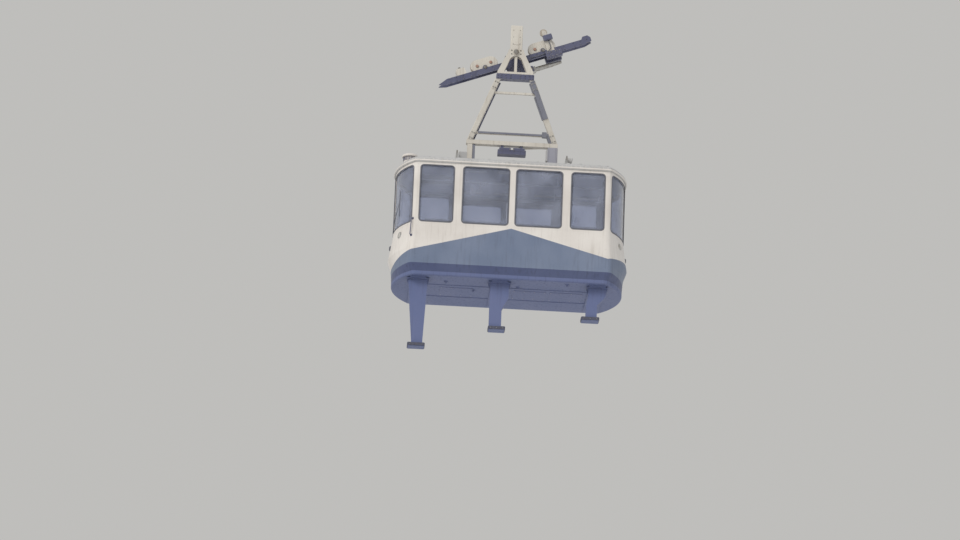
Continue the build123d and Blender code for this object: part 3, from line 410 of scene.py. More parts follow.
def plate(size, centre, ways, rounding=0.006, bevel=0.0015):
    """Plate of a width, height and thickness, its width and height along two ways from its centre.

    Its outline stands at the foot and at the bevel, and is drawn in by the bevel at the top. The
    corners are rounded by at least one and a half bevels, so that the top keeps its corners.
    """
    width, height, thick = size
    outline, normal = rounded_rectangle(width, height, max(rounding, bevel * 1.5), per_corner=4)
    count = len(outline)
    levels = [(0.0, 0.0), (0.0, thick - bevel), (bevel, thick)]
    rows = [np.column_stack([outline - inward * normal, np.full(count, z)]) for inward, z in levels]
    top = (len(levels) - 1) * count
    faces = grid_faces(len(levels), count, wrap_columns=True).tolist()
    faces.append(list(range(top, top + count)))
    faces.append(list(range(count))[::-1])
    x_axis = unit(ways[0])
    z_axis = unit(np.cross(x_axis, ways[1]))
    axes = np.stack([x_axis, np.cross(z_axis, x_axis), z_axis])
    return np.concatenate(rows) @ axes + np.asarray(centre, float), faces


print("plate points", len(plate((0.1, 0.1, 0.01), (0, 0, 0), faces_near)[0]))


# %% Profiles along a path, and pipes
def swept(path, across, out, profile, closed=False):
    """Profile carried along a path: path + profile x * across + profile y * out.

    A closed path joins its end to its start, and an open one gets a face at each end.
    """
    across, out = (np.broadcast_to(way, path.shape)[:, None, :] for way in (across, out))
    grid = path[:, None, :] + profile[None, :, :1] * across + profile[None, :, 1:] * out
    rows, columns = grid.shape[:2]
    faces = grid_faces(rows, columns, closed, True).tolist()
    if not closed:
        faces.append(list(range(columns))[::-1])
        faces.append([(rows - 1) * columns + k for k in range(columns)])
    return grid.reshape(-1, 3), faces


def oval(half_width, half_height, sides):
    """Profile of an oval: half_width * cos(v), half_height * sin(v)."""
    v = np.linspace(0, 2 * np.pi, sides, endpoint=False)
    return np.stack([half_width * np.cos(v), half_height * np.sin(v)], axis=1)


def pipe(points, radius, sides=12, steps=8, bend=0.06):
    """Round pipe through corner points: each corner is cut back by bend and rounded.

    The rounding is a quadratic curve from one leg to the next, its middle point the corner.
    """
    corners = np.asarray(points, float)
    path = [corners[0]]
    t = np.linspace(0, 1, steps)[:, None]
    for before, corner, after in zip(corners[:-2], corners[1:-1], corners[2:]):
        start = corner + unit(before - corner) * bend
        end = corner + unit(after - corner) * bend
        path.extend((1 - t) ** 2 * start + 2 * t * (1 - t) * corner + t**2 * end)
    path.append(corners[-1])
    path = np.array(path)
    along = unit(np.gradient(path, axis=0))
    helper = np.tile([0.0, 1.0, 0.0], (len(path), 1))
    helper[np.abs(along[:, 1]) > 0.9] = [1.0, 0.0, 0.0]
    across = unit(np.cross(along, helper))
    return swept(path, across, np.cross(across, along), oval(radius, radius, sides))


print("pipe points", len(pipe([(0, 0, 0), (0, 0, 1)], radius=0.01)[0]))

# %% [markdown]
# A rivet head is a flat dome and a bolt head a hexagon with its corners turned off. Both are turned
# shapes: a radius and a height along a profile, swept round. For the bolt the radius also depends
# on the angle, which makes the six flats. Copies of one head are set on given places, each turned
# to the surface that it sits on.

# %% Turned shapes, rivets and bolts
# Radius at which a turned shape counts as closed at its axis
tip = 1e-4


def lathe(profile, sides=20, hexagon=False):
    """Turned shape: each profile row (radius, height) swept round by angle.

    With hexagon the radius is divided by the cosine of the angle from the nearest flat's middle.
    """
    profile = np.asarray(profile, float)
    angle = np.linspace(0, 2 * np.pi, sides, endpoint=False)
    reach = np.ones(sides)
    if hexagon:
        from_flat = np.mod(angle, np.pi / 3) - np.pi / 6
        reach = np.cos(np.pi / 6) / np.cos(from_flat)
    around = np.stack([reach * np.cos(angle), reach * np.sin(angle), np.ones(sides)], axis=1)
    points = profile[:, None, [0, 0, 1]] * around
    return points.reshape(-1, 3), grid_faces(len(profile), sides, wrap_columns=True)


def set_copies(shape, places, facing):
    """Copies of a small shape whose own +Z is turned to each way of facing, its origin to each place."""
    points, faces = shape
    places = np.atleast_2d(np.asarray(places, float))
    normals = np.broadcast_to(unit(facing), places.shape)
    helper = np.where(np.abs(normals[:, :1]) > 0.9, [[0.0, 1.0, 0.0]], [[1.0, 0.0, 0.0]])
    side = unit(np.cross(helper, normals))
    axes = np.stack([side, np.cross(normals, side), normals], axis=1)
    moved = np.einsum("pi,kij->kpj", points, axes) + places[:, None, :]
    shifted = faces[None] + (np.arange(len(places)) * len(points))[:, None, None]
    return moved.reshape(-1, 3), shifted.reshape(-1, faces.shape[1])


rivet_radius = 0.008
rivet_height = 0.0045
rivet_tip = 1e-5
dome = np.linspace(0, np.pi / 2, 4)
rivet_profile = np.stack([rivet_radius * np.cos(dome) + rivet_tip, rivet_height * np.sin(dome)], axis=1)
rivet_head = lathe(rivet_profile, sides=8)


def rivets(name, places, facing, slot, body="cabin"):
    """Rivet heads on the given places."""
    add_mesh(name, set_copies(rivet_head, places, facing), slot, body)


def bolts(name, places, facing, slot, radius, height, body="cabin"):
    """Bolt heads on the given places.

    Shares of the radius and the height give the washer, the flats, the turned corners and the top.
    """
    shares = [(1.35, 0), (1.35, 0.2), (1, 0.2), (1, 0.85), (0.86, 1), (tip / radius, 1)]
    head = lathe(np.array(shares) * [radius, height], sides=12, hexagon=True)
    add_mesh(name, set_copies(head, places, facing), slot, body, smooth=False)


print("rivet faces", len(rivet_head[1]))

# %% [markdown]
# ## The plan of the cabin
# Everything round the cabin follows its plan: two straight sides, a rounded corner, and an end
# that is part of a large circle. The outline is worked out once as a path with its outward
# direction at every point, and the seals, rivets and gutter all use it.

# %% Plan as a closed path
half_width = 0.950
corner_x = 1.800
nose_x = 2.150
corner_rounding = 0.120
side_steps = 60
corner_steps = 8
end_steps = 40


def end_circle(half, corner, nose):
    """Centre X and radius of the end's circle through the nose and both corners."""
    bow = nose - corner
    radius = (half**2 + bow**2) / (2 * bow)
    return nose - radius, radius


def plan_path(half, corner, nose, out=0.0):
    """Closed plan outline moved outward by out, with the outward direction at each point.

    Side, corner arc, end arc, corner arc, and the same again turned half way round. An arc is
    its middle + its radius * (cos, sin) of the outward direction.
    """
    centre, radius = end_circle(half, corner, nose)
    big = radius + out
    small = corner_rounding + out
    arc_y = half + out - small
    arc_x = centre + math.sqrt((big - small) ** 2 - arc_y**2)
    meet = math.atan2(arc_y, arc_x - centre)
    side_x = np.linspace(-arc_x, arc_x, side_steps, endpoint=False)
    path = [np.column_stack([side_x, np.full(side_steps, -half - out)])]
    facing = [np.tile([0.0, -1.0], (side_steps, 1))]
    for middle, size, start, stop, count in (
        ((arc_x, -arc_y), small, -math.pi / 2, -meet, corner_steps),
        ((centre, 0.0), big, -meet, meet, end_steps),
        ((arc_x, arc_y), small, meet, math.pi / 2, corner_steps),
    ):
        t = np.linspace(start, stop, count, endpoint=False)
        facing.append(np.stack([np.cos(t), np.sin(t)], axis=1))
        path.append(np.array(middle) + size * facing[-1])
    path = np.concatenate(path)
    facing = np.concatenate(facing)
    return np.concatenate([path, -path]), np.concatenate([facing, -facing])


def at_height(flat, z):
    """Plan points lifted to a height."""
    return np.column_stack([flat, np.full(len(flat), z)])


def end_skin_x(y):
    """How far out the end's circle lies at each Y, from the car's middle."""
    centre, radius = end_circle(half_width, corner_x, nose_x)
    return centre + np.sqrt(radius**2 - y**2)


print("plan points", len(plan_path(half_width, corner_x, nose_x)[0]))

# %% [markdown]
# ## Window seals
# Each pane sits in a rubber seal pressed round the opening. It could be cut into the wall, but a
# bead swept round the rounded opening is what the real extrusion is. On the bowed ends the same
# outline is laid on the end's circle, so the seal follows the curve of the panel.

# %% Two kinds of seal
seal_finish = rubber("window_rubber", (0.078, 0.080, 0.094))
window_top = -2.443
window_sill = -3.537
window_corner = 0.060
window_height = window_top - window_sill
window_middle = (window_top + window_sill) / 2
end_window_width = 0.840
end_window_y = 0.480
seal_half = 0.013
seal_deep = 0.007
far_seal_deep = 0.004
seal_sides = 10
between = 6


def flat_seal(x, width, height, z, y, outward, deep=seal_deep):
    """Seal on an upright side wall: the outline lies in X and Z, the bead stands out along Y."""
    outline, normal = rounded_rectangle(width, height, window_corner)
    path = np.column_stack([outline[:, 0] + x, np.full(len(outline), y), outline[:, 1] + z])
    across = np.column_stack([normal[:, 0], np.zeros(len(normal)), normal[:, 1]])
    return swept(path, across, (0.0, outward, 0.0), oval(seal_half, deep, seal_sides), closed=True)


def bowed_seal(side, middle_y):
    """Seal on a bowed end: Y of the outline is kept and X follows the end's circle at that Y.

    Each line of the outline is parted into short steps, so that it can bend with the circle.
    """
    centre, radius = end_circle(half_width, corner_x, nose_x)
    outline, normal = rounded_rectangle(end_window_width, window_height, window_corner, per_corner=12)
    share = np.arange(between)[None, :, None] / between
    dense = outline[:, None] + (np.roll(outline, -1, 0) - outline)[:, None] * share
    y, z = (dense.reshape(-1, 2) + [middle_y, window_middle]).T
    in_y, in_z = np.repeat(normal, between, axis=0).T
    out = np.column_stack([side * (end_skin_x(y) - centre) / radius, y / radius, np.zeros(len(y))])
    path = np.column_stack([side * end_skin_x(y), y, z])
    across = np.column_stack([-in_y * out[:, 1] * side, in_y * out[:, 0] * side, in_z])
    return swept(path, across, out, oval(seal_half, seal_deep, seal_sides), closed=True)


# %% Seals round every window
# Middle and width of the side windows, for the half on each side of the car's middle
side_windows = ((0.4925, 0.855), (1.400, 0.620))
near_seals = [
    flat_seal(half * middle, width, window_height, window_middle, -half_width, -1.0)
    for middle, width in side_windows
    for half in (-1, 1)
]
add_mesh("window_seals_near", joined(near_seals), finish=seal_finish)
far_middle, far_width = side_windows[1]
far_seals = [
    flat_seal(half * far_middle, far_width, window_height, window_middle, half_width, 1.0, far_seal_deep)
    for half in (-1, 1)
]
add_mesh("window_seals_far", joined(far_seals), finish=seal_finish)
end_seals = [bowed_seal(side, half * end_window_y) for side in (-1, 1) for half in (-1, 1)]
add_mesh("window_seals_ends", joined(end_seals), finish=seal_finish)
leaf_face = 1.000
for door in ("door_left", "door_right"):
    low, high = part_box(door.replace("door", "door_glass"))
    seal = flat_seal(
        (low.x + high.x) / 2, high.x - low.x, high.z - low.z, (low.z + high.z) / 2, leaf_face, 1.0
    )
    add_mesh(f"{door}_window_seal", seal, body=door, finish=seal_finish)
print("seals on", len(near_seals + far_seals + end_seals) + 2, "windows")

# %% [markdown]
# ## Gutter and rivets
# Rain from the roof is caught by a small gutter above the windows, and the sheet is riveted to
# its frame along the roof edge, the panel joints and the bottom rail. Rivets could be painted on
# as dots, but real heads catch the light along a row, so copies of one head are set along the
# plan path at equal steps.

# %% Roof gutter
roof_overhang = 0.020
roof_edge = -2.318
gutter_z = roof_edge - 0.040
gutter_path, gutter_out = plan_path(half_width, corner_x, nose_x, out=roof_overhang)
half_round = np.linspace(-np.pi / 2, np.pi / 2, 7)
gutter_profile = np.stack([0.014 * np.cos(half_round), 0.016 * np.sin(half_round)], axis=1)
gutter_profile = np.concatenate([gutter_profile, [[-0.002, 0.016], [-0.002, -0.016]]])
gutter = swept(
    at_height(gutter_path, gutter_z), at_height(gutter_out, 0.0), (0.0, 0.0, 1.0), gutter_profile, closed=True
)
add_mesh("roof_gutter", gutter, "white_paint")
print("gutter faces", len(gutter[1]))

# %% Rivet rows along the roof edge and the bottom rail
flare_half_width = 1.010
flare_corner_x = 1.850
flare_nose_x = 2.150
pan_half_width = 0.950
pan_corner_x = 1.790
pan_nose_x = 2.145
wall_foot = -4.362
edge_spacing = 0.085
rail_spacing = 0.136
rail_share = 0.18
rail_tilt = -0.44


def spaced(path, out, step):
    """Every point at equal steps along a closed path, with its outward direction."""
    closed = np.vstack([path, path[:1]])
    turned = np.vstack([out, out[:1]])
    lengths = np.concatenate([[0], np.cumsum(np.linalg.norm(np.diff(closed, axis=0), axis=1))])
    count = int(lengths[-1] / step)
    wanted = np.arange(count) * lengths[-1] / count
    at = [np.interp(wanted, lengths, part) for part in closed.T]
    facing = [np.interp(wanted, lengths, part) for part in turned.T]
    return np.stack(at, axis=1), np.stack(facing, axis=1)


at, facing = spaced(gutter_path, gutter_out, edge_spacing)
rivets("roof_edge_rivets", at_height(at, roof_edge - 0.010), at_height(facing, 0.0), "white_paint")
flare_path, flare_out = plan_path(flare_half_width, flare_corner_x, flare_nose_x)
pan_path, _ = plan_path(pan_half_width, pan_corner_x, pan_nose_x)
rail_line = flare_path + (pan_path - flare_path) * rail_share
rail_z = wall_foot + (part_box("bottom_rail")[0].z - wall_foot) * rail_share
at, facing = spaced(rail_line, flare_out, rail_spacing)
rivets("bottom_rail_rivets", at_height(at, rail_z), at_height(facing, rail_tilt), "navy_paint")
print("rivets round the rail", len(at))

# %% [markdown]
# ## Carriage
# The wheels run between rocker plates. Each axle ends in a grease cap, painted red brown, and each
# pin in a nut. The long side plates are bolted through to the tubes between them. The places
# could be typed in X and Z, but along the slope and square to it they are plain distances. Both
# faces of the carriage are alike, so each place is given once.

# %% Grease caps, nuts and side plate bolts
slope = math.radians(20.5)
along_slope = np.array([math.cos(slope), 0, math.sin(slope)])
off_slope = np.array([-math.sin(slope), 0, math.cos(slope)])
axle_end = 0.058
cap_colours = ((0.36, 0.20, 0.15), (0.42, 0.27, 0.21), (0.10, 0.07, 0.05))
cap_finish = enamel("cap_enamel", *cap_colours, runs=0.5, worn=0.4)
cap_profile = [(0.030, 0), (0.030, 0.004), (0.027, 0.009), (0.018, 0.013), (0.009, 0.0145), (tip, 0.015)]


def on_slope(u, v, y=0.0):
    """Point u along the slope, v square above it and y aside."""
    u, v, y = np.broadcast_arrays(*(np.asarray(value, float)[..., None] for value in (u, v, y)))
    return u * along_slope + v * off_slope + y * np.array([0, 1.0, 0])


def both_sides(places, off):
    """The places set off by a distance to each side of the car's middle, with the way they face."""
    places = np.asarray(places)
    moved = np.concatenate([places + [0, side * off, 0] for side in (-1, 1)])
    return moved, np.repeat([[0, -1.0, 0], [0, 1.0, 0]], len(places), axis=0)


joints = {joint["name"]: joint for joint in frame["joints"]}
wheel_centres = [joints[f"wheel_{k}_spin"]["pos_m"] for k in range(1, 5)]
caps = set_copies(lathe(cap_profile), *both_sides(wheel_centres, axle_end))
add_mesh("axle_grease_caps", caps, body="carriage", finish=cap_finish)
bolt_rows = (-1.30, -1.17, -1.03, -0.88, -0.74, -0.44, -0.30, 0.30, 0.44, 0.98, 1.17, 1.30, 1.43)
# Places along the slope and square to it, the face's distance from the middle, and the head's size
for name, u_places, v_places, face, slot, radius, height in (
    ("rocker_pin_nuts", (-0.575, 0.575), (0.065,), 0.092, "bright_steel", 0.022, 0.016),
    ("side_plate_bolts", bolt_rows, (-0.030, 0.038), 0.078, "dark_paint", 0.011, 0.010),
    ("yoke_bolts", (-0.135, -0.045, 0.045, 0.135), (-0.120, 0.130), 0.100, "dark_paint", 0.013, 0.012),
):
    places = np.concatenate([on_slope(u_places, v) for v in v_places])
    bolts(name, *both_sides(places, face), slot, radius, height, "carriage")
print("caps", 2 * len(wheel_centres), "side plate bolts", 4 * len(bolt_rows))

# %% [markdown]
# The brake's springs sit in two boxes with bolted lids, and ribs keep the lids from drumming. The
# lubricator has a filler cap, and a switch box on the roller's bracket is wired down to the yoke; the
# box's dark paint is partly painted shade beside the roller. Each is a plate set on its face rather
# than a cut in it, because the real lids stand proud and throw that thin shadow.

# %% Lids, ribs, filler cap and switch box
brake_u = 0.745
brake_v = -0.085
brake_face = 0.165
lid_thick = 0.006
lids = []
for side in (-1, 1):
    ways = (-side * along_slope, off_slope)
    middle = on_slope(brake_u, brake_v, side * brake_face)
    lids.append(plate((0.270, 0.104, lid_thick), middle, ways, rounding=0.014))
    for u in (-0.075, 0.0, 0.075):
        place = on_slope(brake_u + u, brake_v, side * (brake_face + lid_thick))
        lids.append(plate((0.012, 0.088, 0.014), place, ways, rounding=0.003))
add_flat("brake_lids", lids, "dark_paint", "carriage")
bolt_u = (-0.118, -0.040, 0.040, 0.118)
lid_bolts = [on_slope(brake_u + u, brake_v + v) for u in bolt_u for v in (-0.040, 0.040)]
lid_places, lid_facing = both_sides(lid_bolts, brake_face + lid_thick)
bolts("brake_lid_bolts", lid_places, lid_facing, "bright_steel", radius=0.008, height=0.008, body="carriage")

filler_profile = [(0.034, 0), (0.034, 0.010), (0.026, 0.012), (0.026, 0.032), (0.020, 0.040), (tip, 0.042)]
filler = set_copies(lathe(filler_profile), on_slope(-1.04, 0.185), off_slope)
add_mesh("lubricator_filler", filler, "bright_steel", "carriage")
switch_u = 0.735
switch_v = 0.270
switch_face = -0.092
switch_deep = 0.052
on_bracket = (along_slope, off_slope)
box_place = on_slope(switch_u, switch_v, switch_face)
lid_place = on_slope(switch_u, switch_v, switch_face - switch_deep)
# Dark switch box: partly painted shade beside the guide roller
switch_box_and_painted_shade = plate((0.175, 0.110, switch_deep), box_place, on_bracket, rounding=0.012, bevel=0.004)
switch_lid = plate((0.150, 0.085, 0.006), lid_place, on_bracket, rounding=0.010)
add_flat("rope_switch_box_and_painted_shade", [switch_box_and_painted_shade, switch_lid], "dark_paint", "carriage")
lead_corners = [(switch_u, 0.215, -0.115), (switch_u, 0.040, -0.115)]
lead_corners += [(0.560, -0.020, -0.088), (0.300, -0.020, -0.088)]
lead = pipe([on_slope(*corner) for corner in lead_corners], radius=0.008)
add_mesh("rope_switch_lead", lead, body="carriage", finish=seal_finish)
print("lid bolts", len(lid_places))

# %% [markdown]
# ## Hanger
# The hanger's members are welded boxes bolted together, so that the cabin can come off: fish plates
# on the legs, a ring of bolts round the main pin, and a cover on the damper housing. The plates
# could be typed in place, but as shares of the leg's length they follow the leg. The plate at the
# head of the uphill leg is kept for the dark ducts below and painted with them as painted shade.

# %% Fish plates on the legs
leg_top = np.array([0.325, -0.280, -0.450])
leg_foot = np.array([0.800, 0.0, -1.590])
leg_run = leg_foot - leg_top
leg_half_depth = 0.055
near_face = -unit(np.cross([1.0, 0, 0], leg_run))
mirror_x = np.array([-1.0, 1.0, 1.0])
# How far the plates' backs lie from the leg's middle: just inside its near face
fish_reach = 0.05335
fish_thick = 0.010
fish_plates = []
fish_bolts = []
for share in (0.085, 0.915):
    for flip in (np.ones(3), mirror_x):
        centre = (leg_top + leg_run * share) * flip + near_face * fish_reach
        run = leg_run * flip
        side = np.cross(run, near_face)
        fish_plates.append(plate((0.080, 0.170, fish_thick), centre, (side, run)))
        for x, z in ((-0.022, -0.055), (0.022, -0.055), (-0.022, 0.055), (0.022, 0.055)):
            fish_bolts.append(centre + unit(side) * x + unit(run) * z + near_face * fish_thick)
# The uphill leg's head plate goes to the dark ducts as painted shade
painted_shade_head_plate = fish_plates.pop(0)
add_flat("hanger_fish_plates", fish_plates, "cream_paint")
bolts("hanger_plate_bolts", fish_bolts, near_face, "bright_steel", radius=0.011, height=0.010)
print("hanger bolts", len(fish_bolts))

# %% Pivot ring, crosshead and covers
out_near = (0, -1.0, 0)
head_near_y = -0.340
pivot_z = 0.095
head_edge_z = 0.150
ring_radius = 0.092
ring_angle = np.linspace(0, 2 * np.pi, 8, endpoint=False) + np.pi / 8
ring_x = ring_radius * np.cos(ring_angle)
ring_z = pivot_z + ring_radius * np.sin(ring_angle)
ring = np.column_stack([ring_x, np.full(8, head_near_y), ring_z])[ring_z < head_edge_z]
bolts("pivot_ring_bolts", ring, out_near, "bright_steel", radius=0.011, height=0.009)
crosshead_near_y = -0.350
cross_x = (-0.325, -0.265, -0.18, -0.09, 0.09, 0.18, 0.265, 0.325)
cross_places = [(x, crosshead_near_y, z) for z in (-0.372, -0.423) for x in cross_x]
bolts("crosshead_bolts", cross_places, out_near, "dark_paint", radius=0.013, height=0.011)

mast_low, mast_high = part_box("damper_housing")
mast_middle = (mast_low.z + mast_high.z) / 2
mast_cover = (0.150, 0.300, 0.006)
mast_covers = [
    plate(mast_cover, (0, mast_low.y, mast_middle), faces_near, rounding=0.012),
    plate(mast_cover, (0, mast_high.y, mast_middle), faces_far, rounding=0.012),
]
add_flat("damper_covers", mast_covers, "cream_paint")
screws = [(x, mast_low.y - 0.006, mast_middle + z) for x in (-0.062, 0.062) for z in (-0.135, 0.0, 0.135)]
rivets("damper_cover_screws", screws, out_near, "bright_steel")

box_low, box_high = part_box("equipment_box")
box_z = (box_low.z + box_high.z) / 2
box_door = (0.220, 0.066, 0.005)
box_doors = [plate(box_door, (x, box_low.y, box_z), faces_near, rounding=0.010) for x in (-0.130, 0.130)]
add_flat("equipment_box_doors", box_doors, "dark_paint")
latch = (0.016, 0.034, 0.012)
latches = [plate(latch, (x, box_low.y - 0.005, box_z), faces_near, rounding=0.004) for x in (-0.035, 0.035)]
add_flat("equipment_box_latches", latches, "bright_steel")
print("crosshead bolts", len(cross_places))

# %% [markdown]
# A conduit carries the wires for the brake and the telephone from the head down one leg to the
# equipment box. It could hang loose, but on such cars it is clipped to the leg, so it is a pipe
# through a few corners with rounded bends, held by saddles.

# %% Conduit down the leg
conduit_radius = 0.011
far_side = -near_face
conduit_off = far_side * (leg_half_depth + 0.014)
conduit_corners = [
    (0.250, -0.206, -0.380),
    leg_top + leg_run * 0.02 + conduit_off,
    leg_top + leg_run * 0.98 + conduit_off,
    (0.700, 0.074, -1.640),
    (0.120, 0.074, -1.690),
    (0.120, 0.040, -1.775),
]
add_mesh("hanger_conduit", pipe(conduit_corners, conduit_radius), "cream_paint")
saddle_off = far_side * (leg_half_depth - 0.001)
saddle_ways = (np.cross(leg_run, far_side), leg_run)
saddles = [
    plate((0.050, 0.022, 0.028), leg_top + leg_run * share + saddle_off, saddle_ways, rounding=0.004)
    for share in (0.15, 0.38, 0.62, 0.85)
]
add_flat("conduit_saddles", saddles, "bright_steel")
print("saddles", len(saddles))

# %% [markdown]
# Heavier cables run in closed ducts, and their dark enamel is painted shade where the hanger turns
# from the light: the upper half and inner face of the uphill leg, where the lower tie bar meets it,
# and beside the downhill post. A dark duct also runs along the lower tie bar. They could be painted
# on, but as boxes with joint covers they also read from the side.

# %% Cable ducts on the leg and the tie bar
inner_face = unit(np.cross([0, 1.0, 0], leg_run))
# How far the ducts' backs lie from the leg's middle: just inside its inner and near faces
inner_reach = 0.0485
near_reach = 0.0533
leg_length = float(np.linalg.norm(leg_run))
inner_ways = (np.cross(leg_run, inner_face), leg_run)
near_ways = (np.cross(leg_run, near_face), leg_run)
painted_shade_duct_parts = [painted_shade_head_plate]
# Start and end as shares of the leg, width and depth, the leg's face, and the rounding and bevel
for start, stop, width, depth, off, ways, rounding, bevel in (
    (0.020, 0.185, 0.088, 0.020, inner_face * inner_reach, inner_ways, 0.008, 0.003),
    (0.235, 0.600, 0.088, 0.020, inner_face * inner_reach, inner_ways, 0.008, 0.003),
    (0.815, 0.980, 0.088, 0.050, inner_face * inner_reach, inner_ways, 0.008, 0.003),
    (0.002, 0.017, 0.092, 0.014, near_face * near_reach, near_ways, 0.006, 0.0015),
    (0.154, 0.600, 0.092, 0.014, near_face * near_reach, near_ways, 0.006, 0.0015),
):
    size = (width, leg_length * (stop - start), depth)
    painted_shade_duct_parts.append(plate(size, leg_top + leg_run * (start + stop) / 2 + off, ways, rounding, bevel))
tie_near_y = -0.057
tie_z = -1.440
painted_shade_duct_parts.append(plate((1.300, 0.036, 0.020), (0, tie_near_y, tie_z), faces_near, rounding=0.005))
tie_end = (0.600, tie_near_y, tie_z)
painted_shade_duct_parts.append(plate((0.090, 0.110, 0.050), tie_end, faces_near, rounding=0.008, bevel=0.003))
# Dark duct enamel: painted shade on the hanger's shaded faces
painted_shade_duct_finish = enamel("painted_shade_duct_enamel", (0.185, 0.190, 0.235), (0.22, 0.225, 0.26), (0.09, 0.085, 0.08), worn=0.4)
add_flat("hanger_ducts_painted_shade", painted_shade_duct_parts, finish=painted_shade_duct_finish)

# The dark pipe on the downhill leg's inner face is painted shade along that face
pipe_from = (leg_top + inner_face * (inner_reach + 0.016)) * mirror_x + [0, 0.036, 0]
painted_shade_leg_pipe = pipe([pipe_from + leg_run * mirror_x * share for share in (0.02, 0.5, 0.98)], radius=0.013)
add_mesh("downhill_leg_pipe_painted_shade", painted_shade_leg_pipe, "dark_paint")
print("ducts", len(painted_shade_duct_parts))

# %% [markdown]
# ## On the roof
# Between the hanger's posts and the roof sit the boxes that such a car carries: junction boxes and
# a terminal box on the posts, a dark duct beside the downhill one, which is painted shade on that
# post's inner side, and a lamp on the service hoop. A groove would mark the lid of a box, but a
# thin plate on a thick one throws a real lid's shadow.

# %% Boxes, duct and lamp at the posts
post_x = 0.790
post_half = 0.0475
post_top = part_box("hanger_feet")[1].z - 0.004
post_foot = -2.128
post_middle = (post_top + post_foot) / 2
post_length = post_top - post_foot
post_boxes = []
# Where a box sits on its post, the height of its middle, its height and depth, and its lid's height
for x, z, high, deep, lid_high in (
    (-post_x - post_half, -1.911, 0.150, 0.150, 0.130),
    (post_x - post_half, -1.828, 0.230, 0.094, 0.205),
):
    post_boxes.append(plate((0.120, high, deep), (x, 0, z), faces_downhill, rounding=0.012, bevel=0.004))
    post_boxes.append(plate((0.100, lid_high, 0.006), (x - deep, 0, z), faces_downhill, rounding=0.010))
add_flat("post_junction_boxes", post_boxes, "roof_paint")
# The duct beside the downhill post is dark as painted shade on the post's inner side
duct_place = (post_half - post_x, 0, post_middle)
painted_shade_post_duct = plate((0.086, post_length, 0.052), duct_place, faces_uphill, rounding=0.010, bevel=0.004)
add_flat("downhill_post_duct_painted_shade", [painted_shade_post_duct], finish=painted_shade_duct_finish)
terminal_x = 0.765
terminal_y = -0.055
terminal_deep = 0.060
box_size = (0.185, post_length - 0.03, terminal_deep)
lid_size = (0.160, post_length - 0.06, 0.005)
terminal_parts = [
    plate(box_size, (terminal_x, terminal_y, post_middle), faces_near, rounding=0.014, bevel=0.004),
    plate(lid_size, (terminal_x, terminal_y - terminal_deep, post_middle), faces_near, rounding=0.010),
]
box_finish = enamel("terminal_enamel", (0.30, 0.30, 0.35), (0.34, 0.34, 0.38), (0.12, 0.115, 0.11), worn=0.4)
add_flat("uphill_terminal_box", terminal_parts, finish=box_finish)
lamp_profile = [(0.022, 0), (0.044, 0.008), (0.050, 0.080), (0.056, 0.084), (0.056, 0.104), (0.050, 0.104)]
lamp_profile += [(0.046, 0.094), (0.020, 0.099), (tip, 0.100)]
hoop_lamp = set_copies(lathe(lamp_profile, sides=24), (1.044, 0, -1.872), (1.0, 0, -0.25))
add_mesh("hoop_lamp", hoop_lamp, "roof_paint")
print("post boxes", len(post_boxes))

# %% [markdown]
# What lies on the roof follows its curve, so its height is read from the roof by a ray straight
# down instead of being typed. Flat strips cover the joints of the roof's sheets, riveted on both
# sides, and the ventilator has a ring of upright louvres.

# %% Roof seams and louvres
bpy.context.view_layer.update()
upward = (0, 0, 1.0)
above_roof = -1.9


def skin_point(name, start, way):
    """Where a ray first meets a node's skin, and the direction that the skin faces there."""
    node = nodes[name]
    to_node = node.matrix_world.inverted()
    _, place, normal, _ = node.ray_cast(to_node @ Vector(start), Vector(way))
    return np.array(node.matrix_world @ place), np.array(normal)


def on_roof(x, y):
    """Point of the roof's skin at an X and Y."""
    return skin_point("roof_shell", (x, y, above_roof), (0, 0, -1))[0]


seam_half = 0.018
seam_rise = 0.003
seam_profile = np.array([[-1, -1], [1, -1], [1, 1], [-1, 1]]) * [seam_half, seam_rise]
seams = []
seam_rivets = []
for x in (-1.80, -0.45, 0.0, 0.45, 1.25, 1.75):
    line = np.array([on_roof(x, y) for y in np.linspace(-0.84, 0.84, 29)])
    seams.append(swept(line, (1.0, 0, 0), upward, seam_profile))
    seam_rivets += [line + [-0.009, 0, seam_rise], line + [0.009, 0, seam_rise]]
add_flat("roof_seams", seams, "roof_paint")
rivets("roof_seam_rivets", np.concatenate(seam_rivets), upward, "roof_paint")

vent_low, vent_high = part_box("roof_ventilator")
vent_middle = np.array([(vent_low.x + vent_high.x) / 2, (vent_low.y + vent_high.y) / 2, -2.156])
vent_reach = 0.119
louvres = []
for turn in np.linspace(0, 2 * np.pi, 26, endpoint=False):
    outward = np.array([math.cos(turn), math.sin(turn), 0])
    ways = (np.cross(upward, outward), upward)
    louvres.append(plate((0.012, 0.072, 0.010), vent_middle + vent_reach * outward, ways, rounding=0.003))
add_flat("ventilator_louvres", louvres, "dark_paint")
print("roof seams", len(seams), "louvres", len(louvres))

# %% Hoop flanges, bolster bolts and the hatch lid's pressing
flange = lathe([(0.040, 0), (0.040, 0.006), (0.032, 0.010), (0.014, 0.011)])
hoop_feet = [on_roof(x, y) for x in (-1.03, 1.03) for y in (-0.26, 0.26)]
add_mesh("hoop_flanges", set_copies(flange, hoop_feet, upward), "roof_paint")
bolster_z = -2.135
bolster_x = (-0.850, -0.730, 0.730, 0.850)
bolster_bolts = [(x, y, bolster_z) for x in bolster_x for y in (-0.39, -0.27, -0.15, 0.15, 0.27, 0.39)]
bolts("bolster_bolts", bolster_bolts, upward, "bright_steel", radius=0.014, height=0.012)

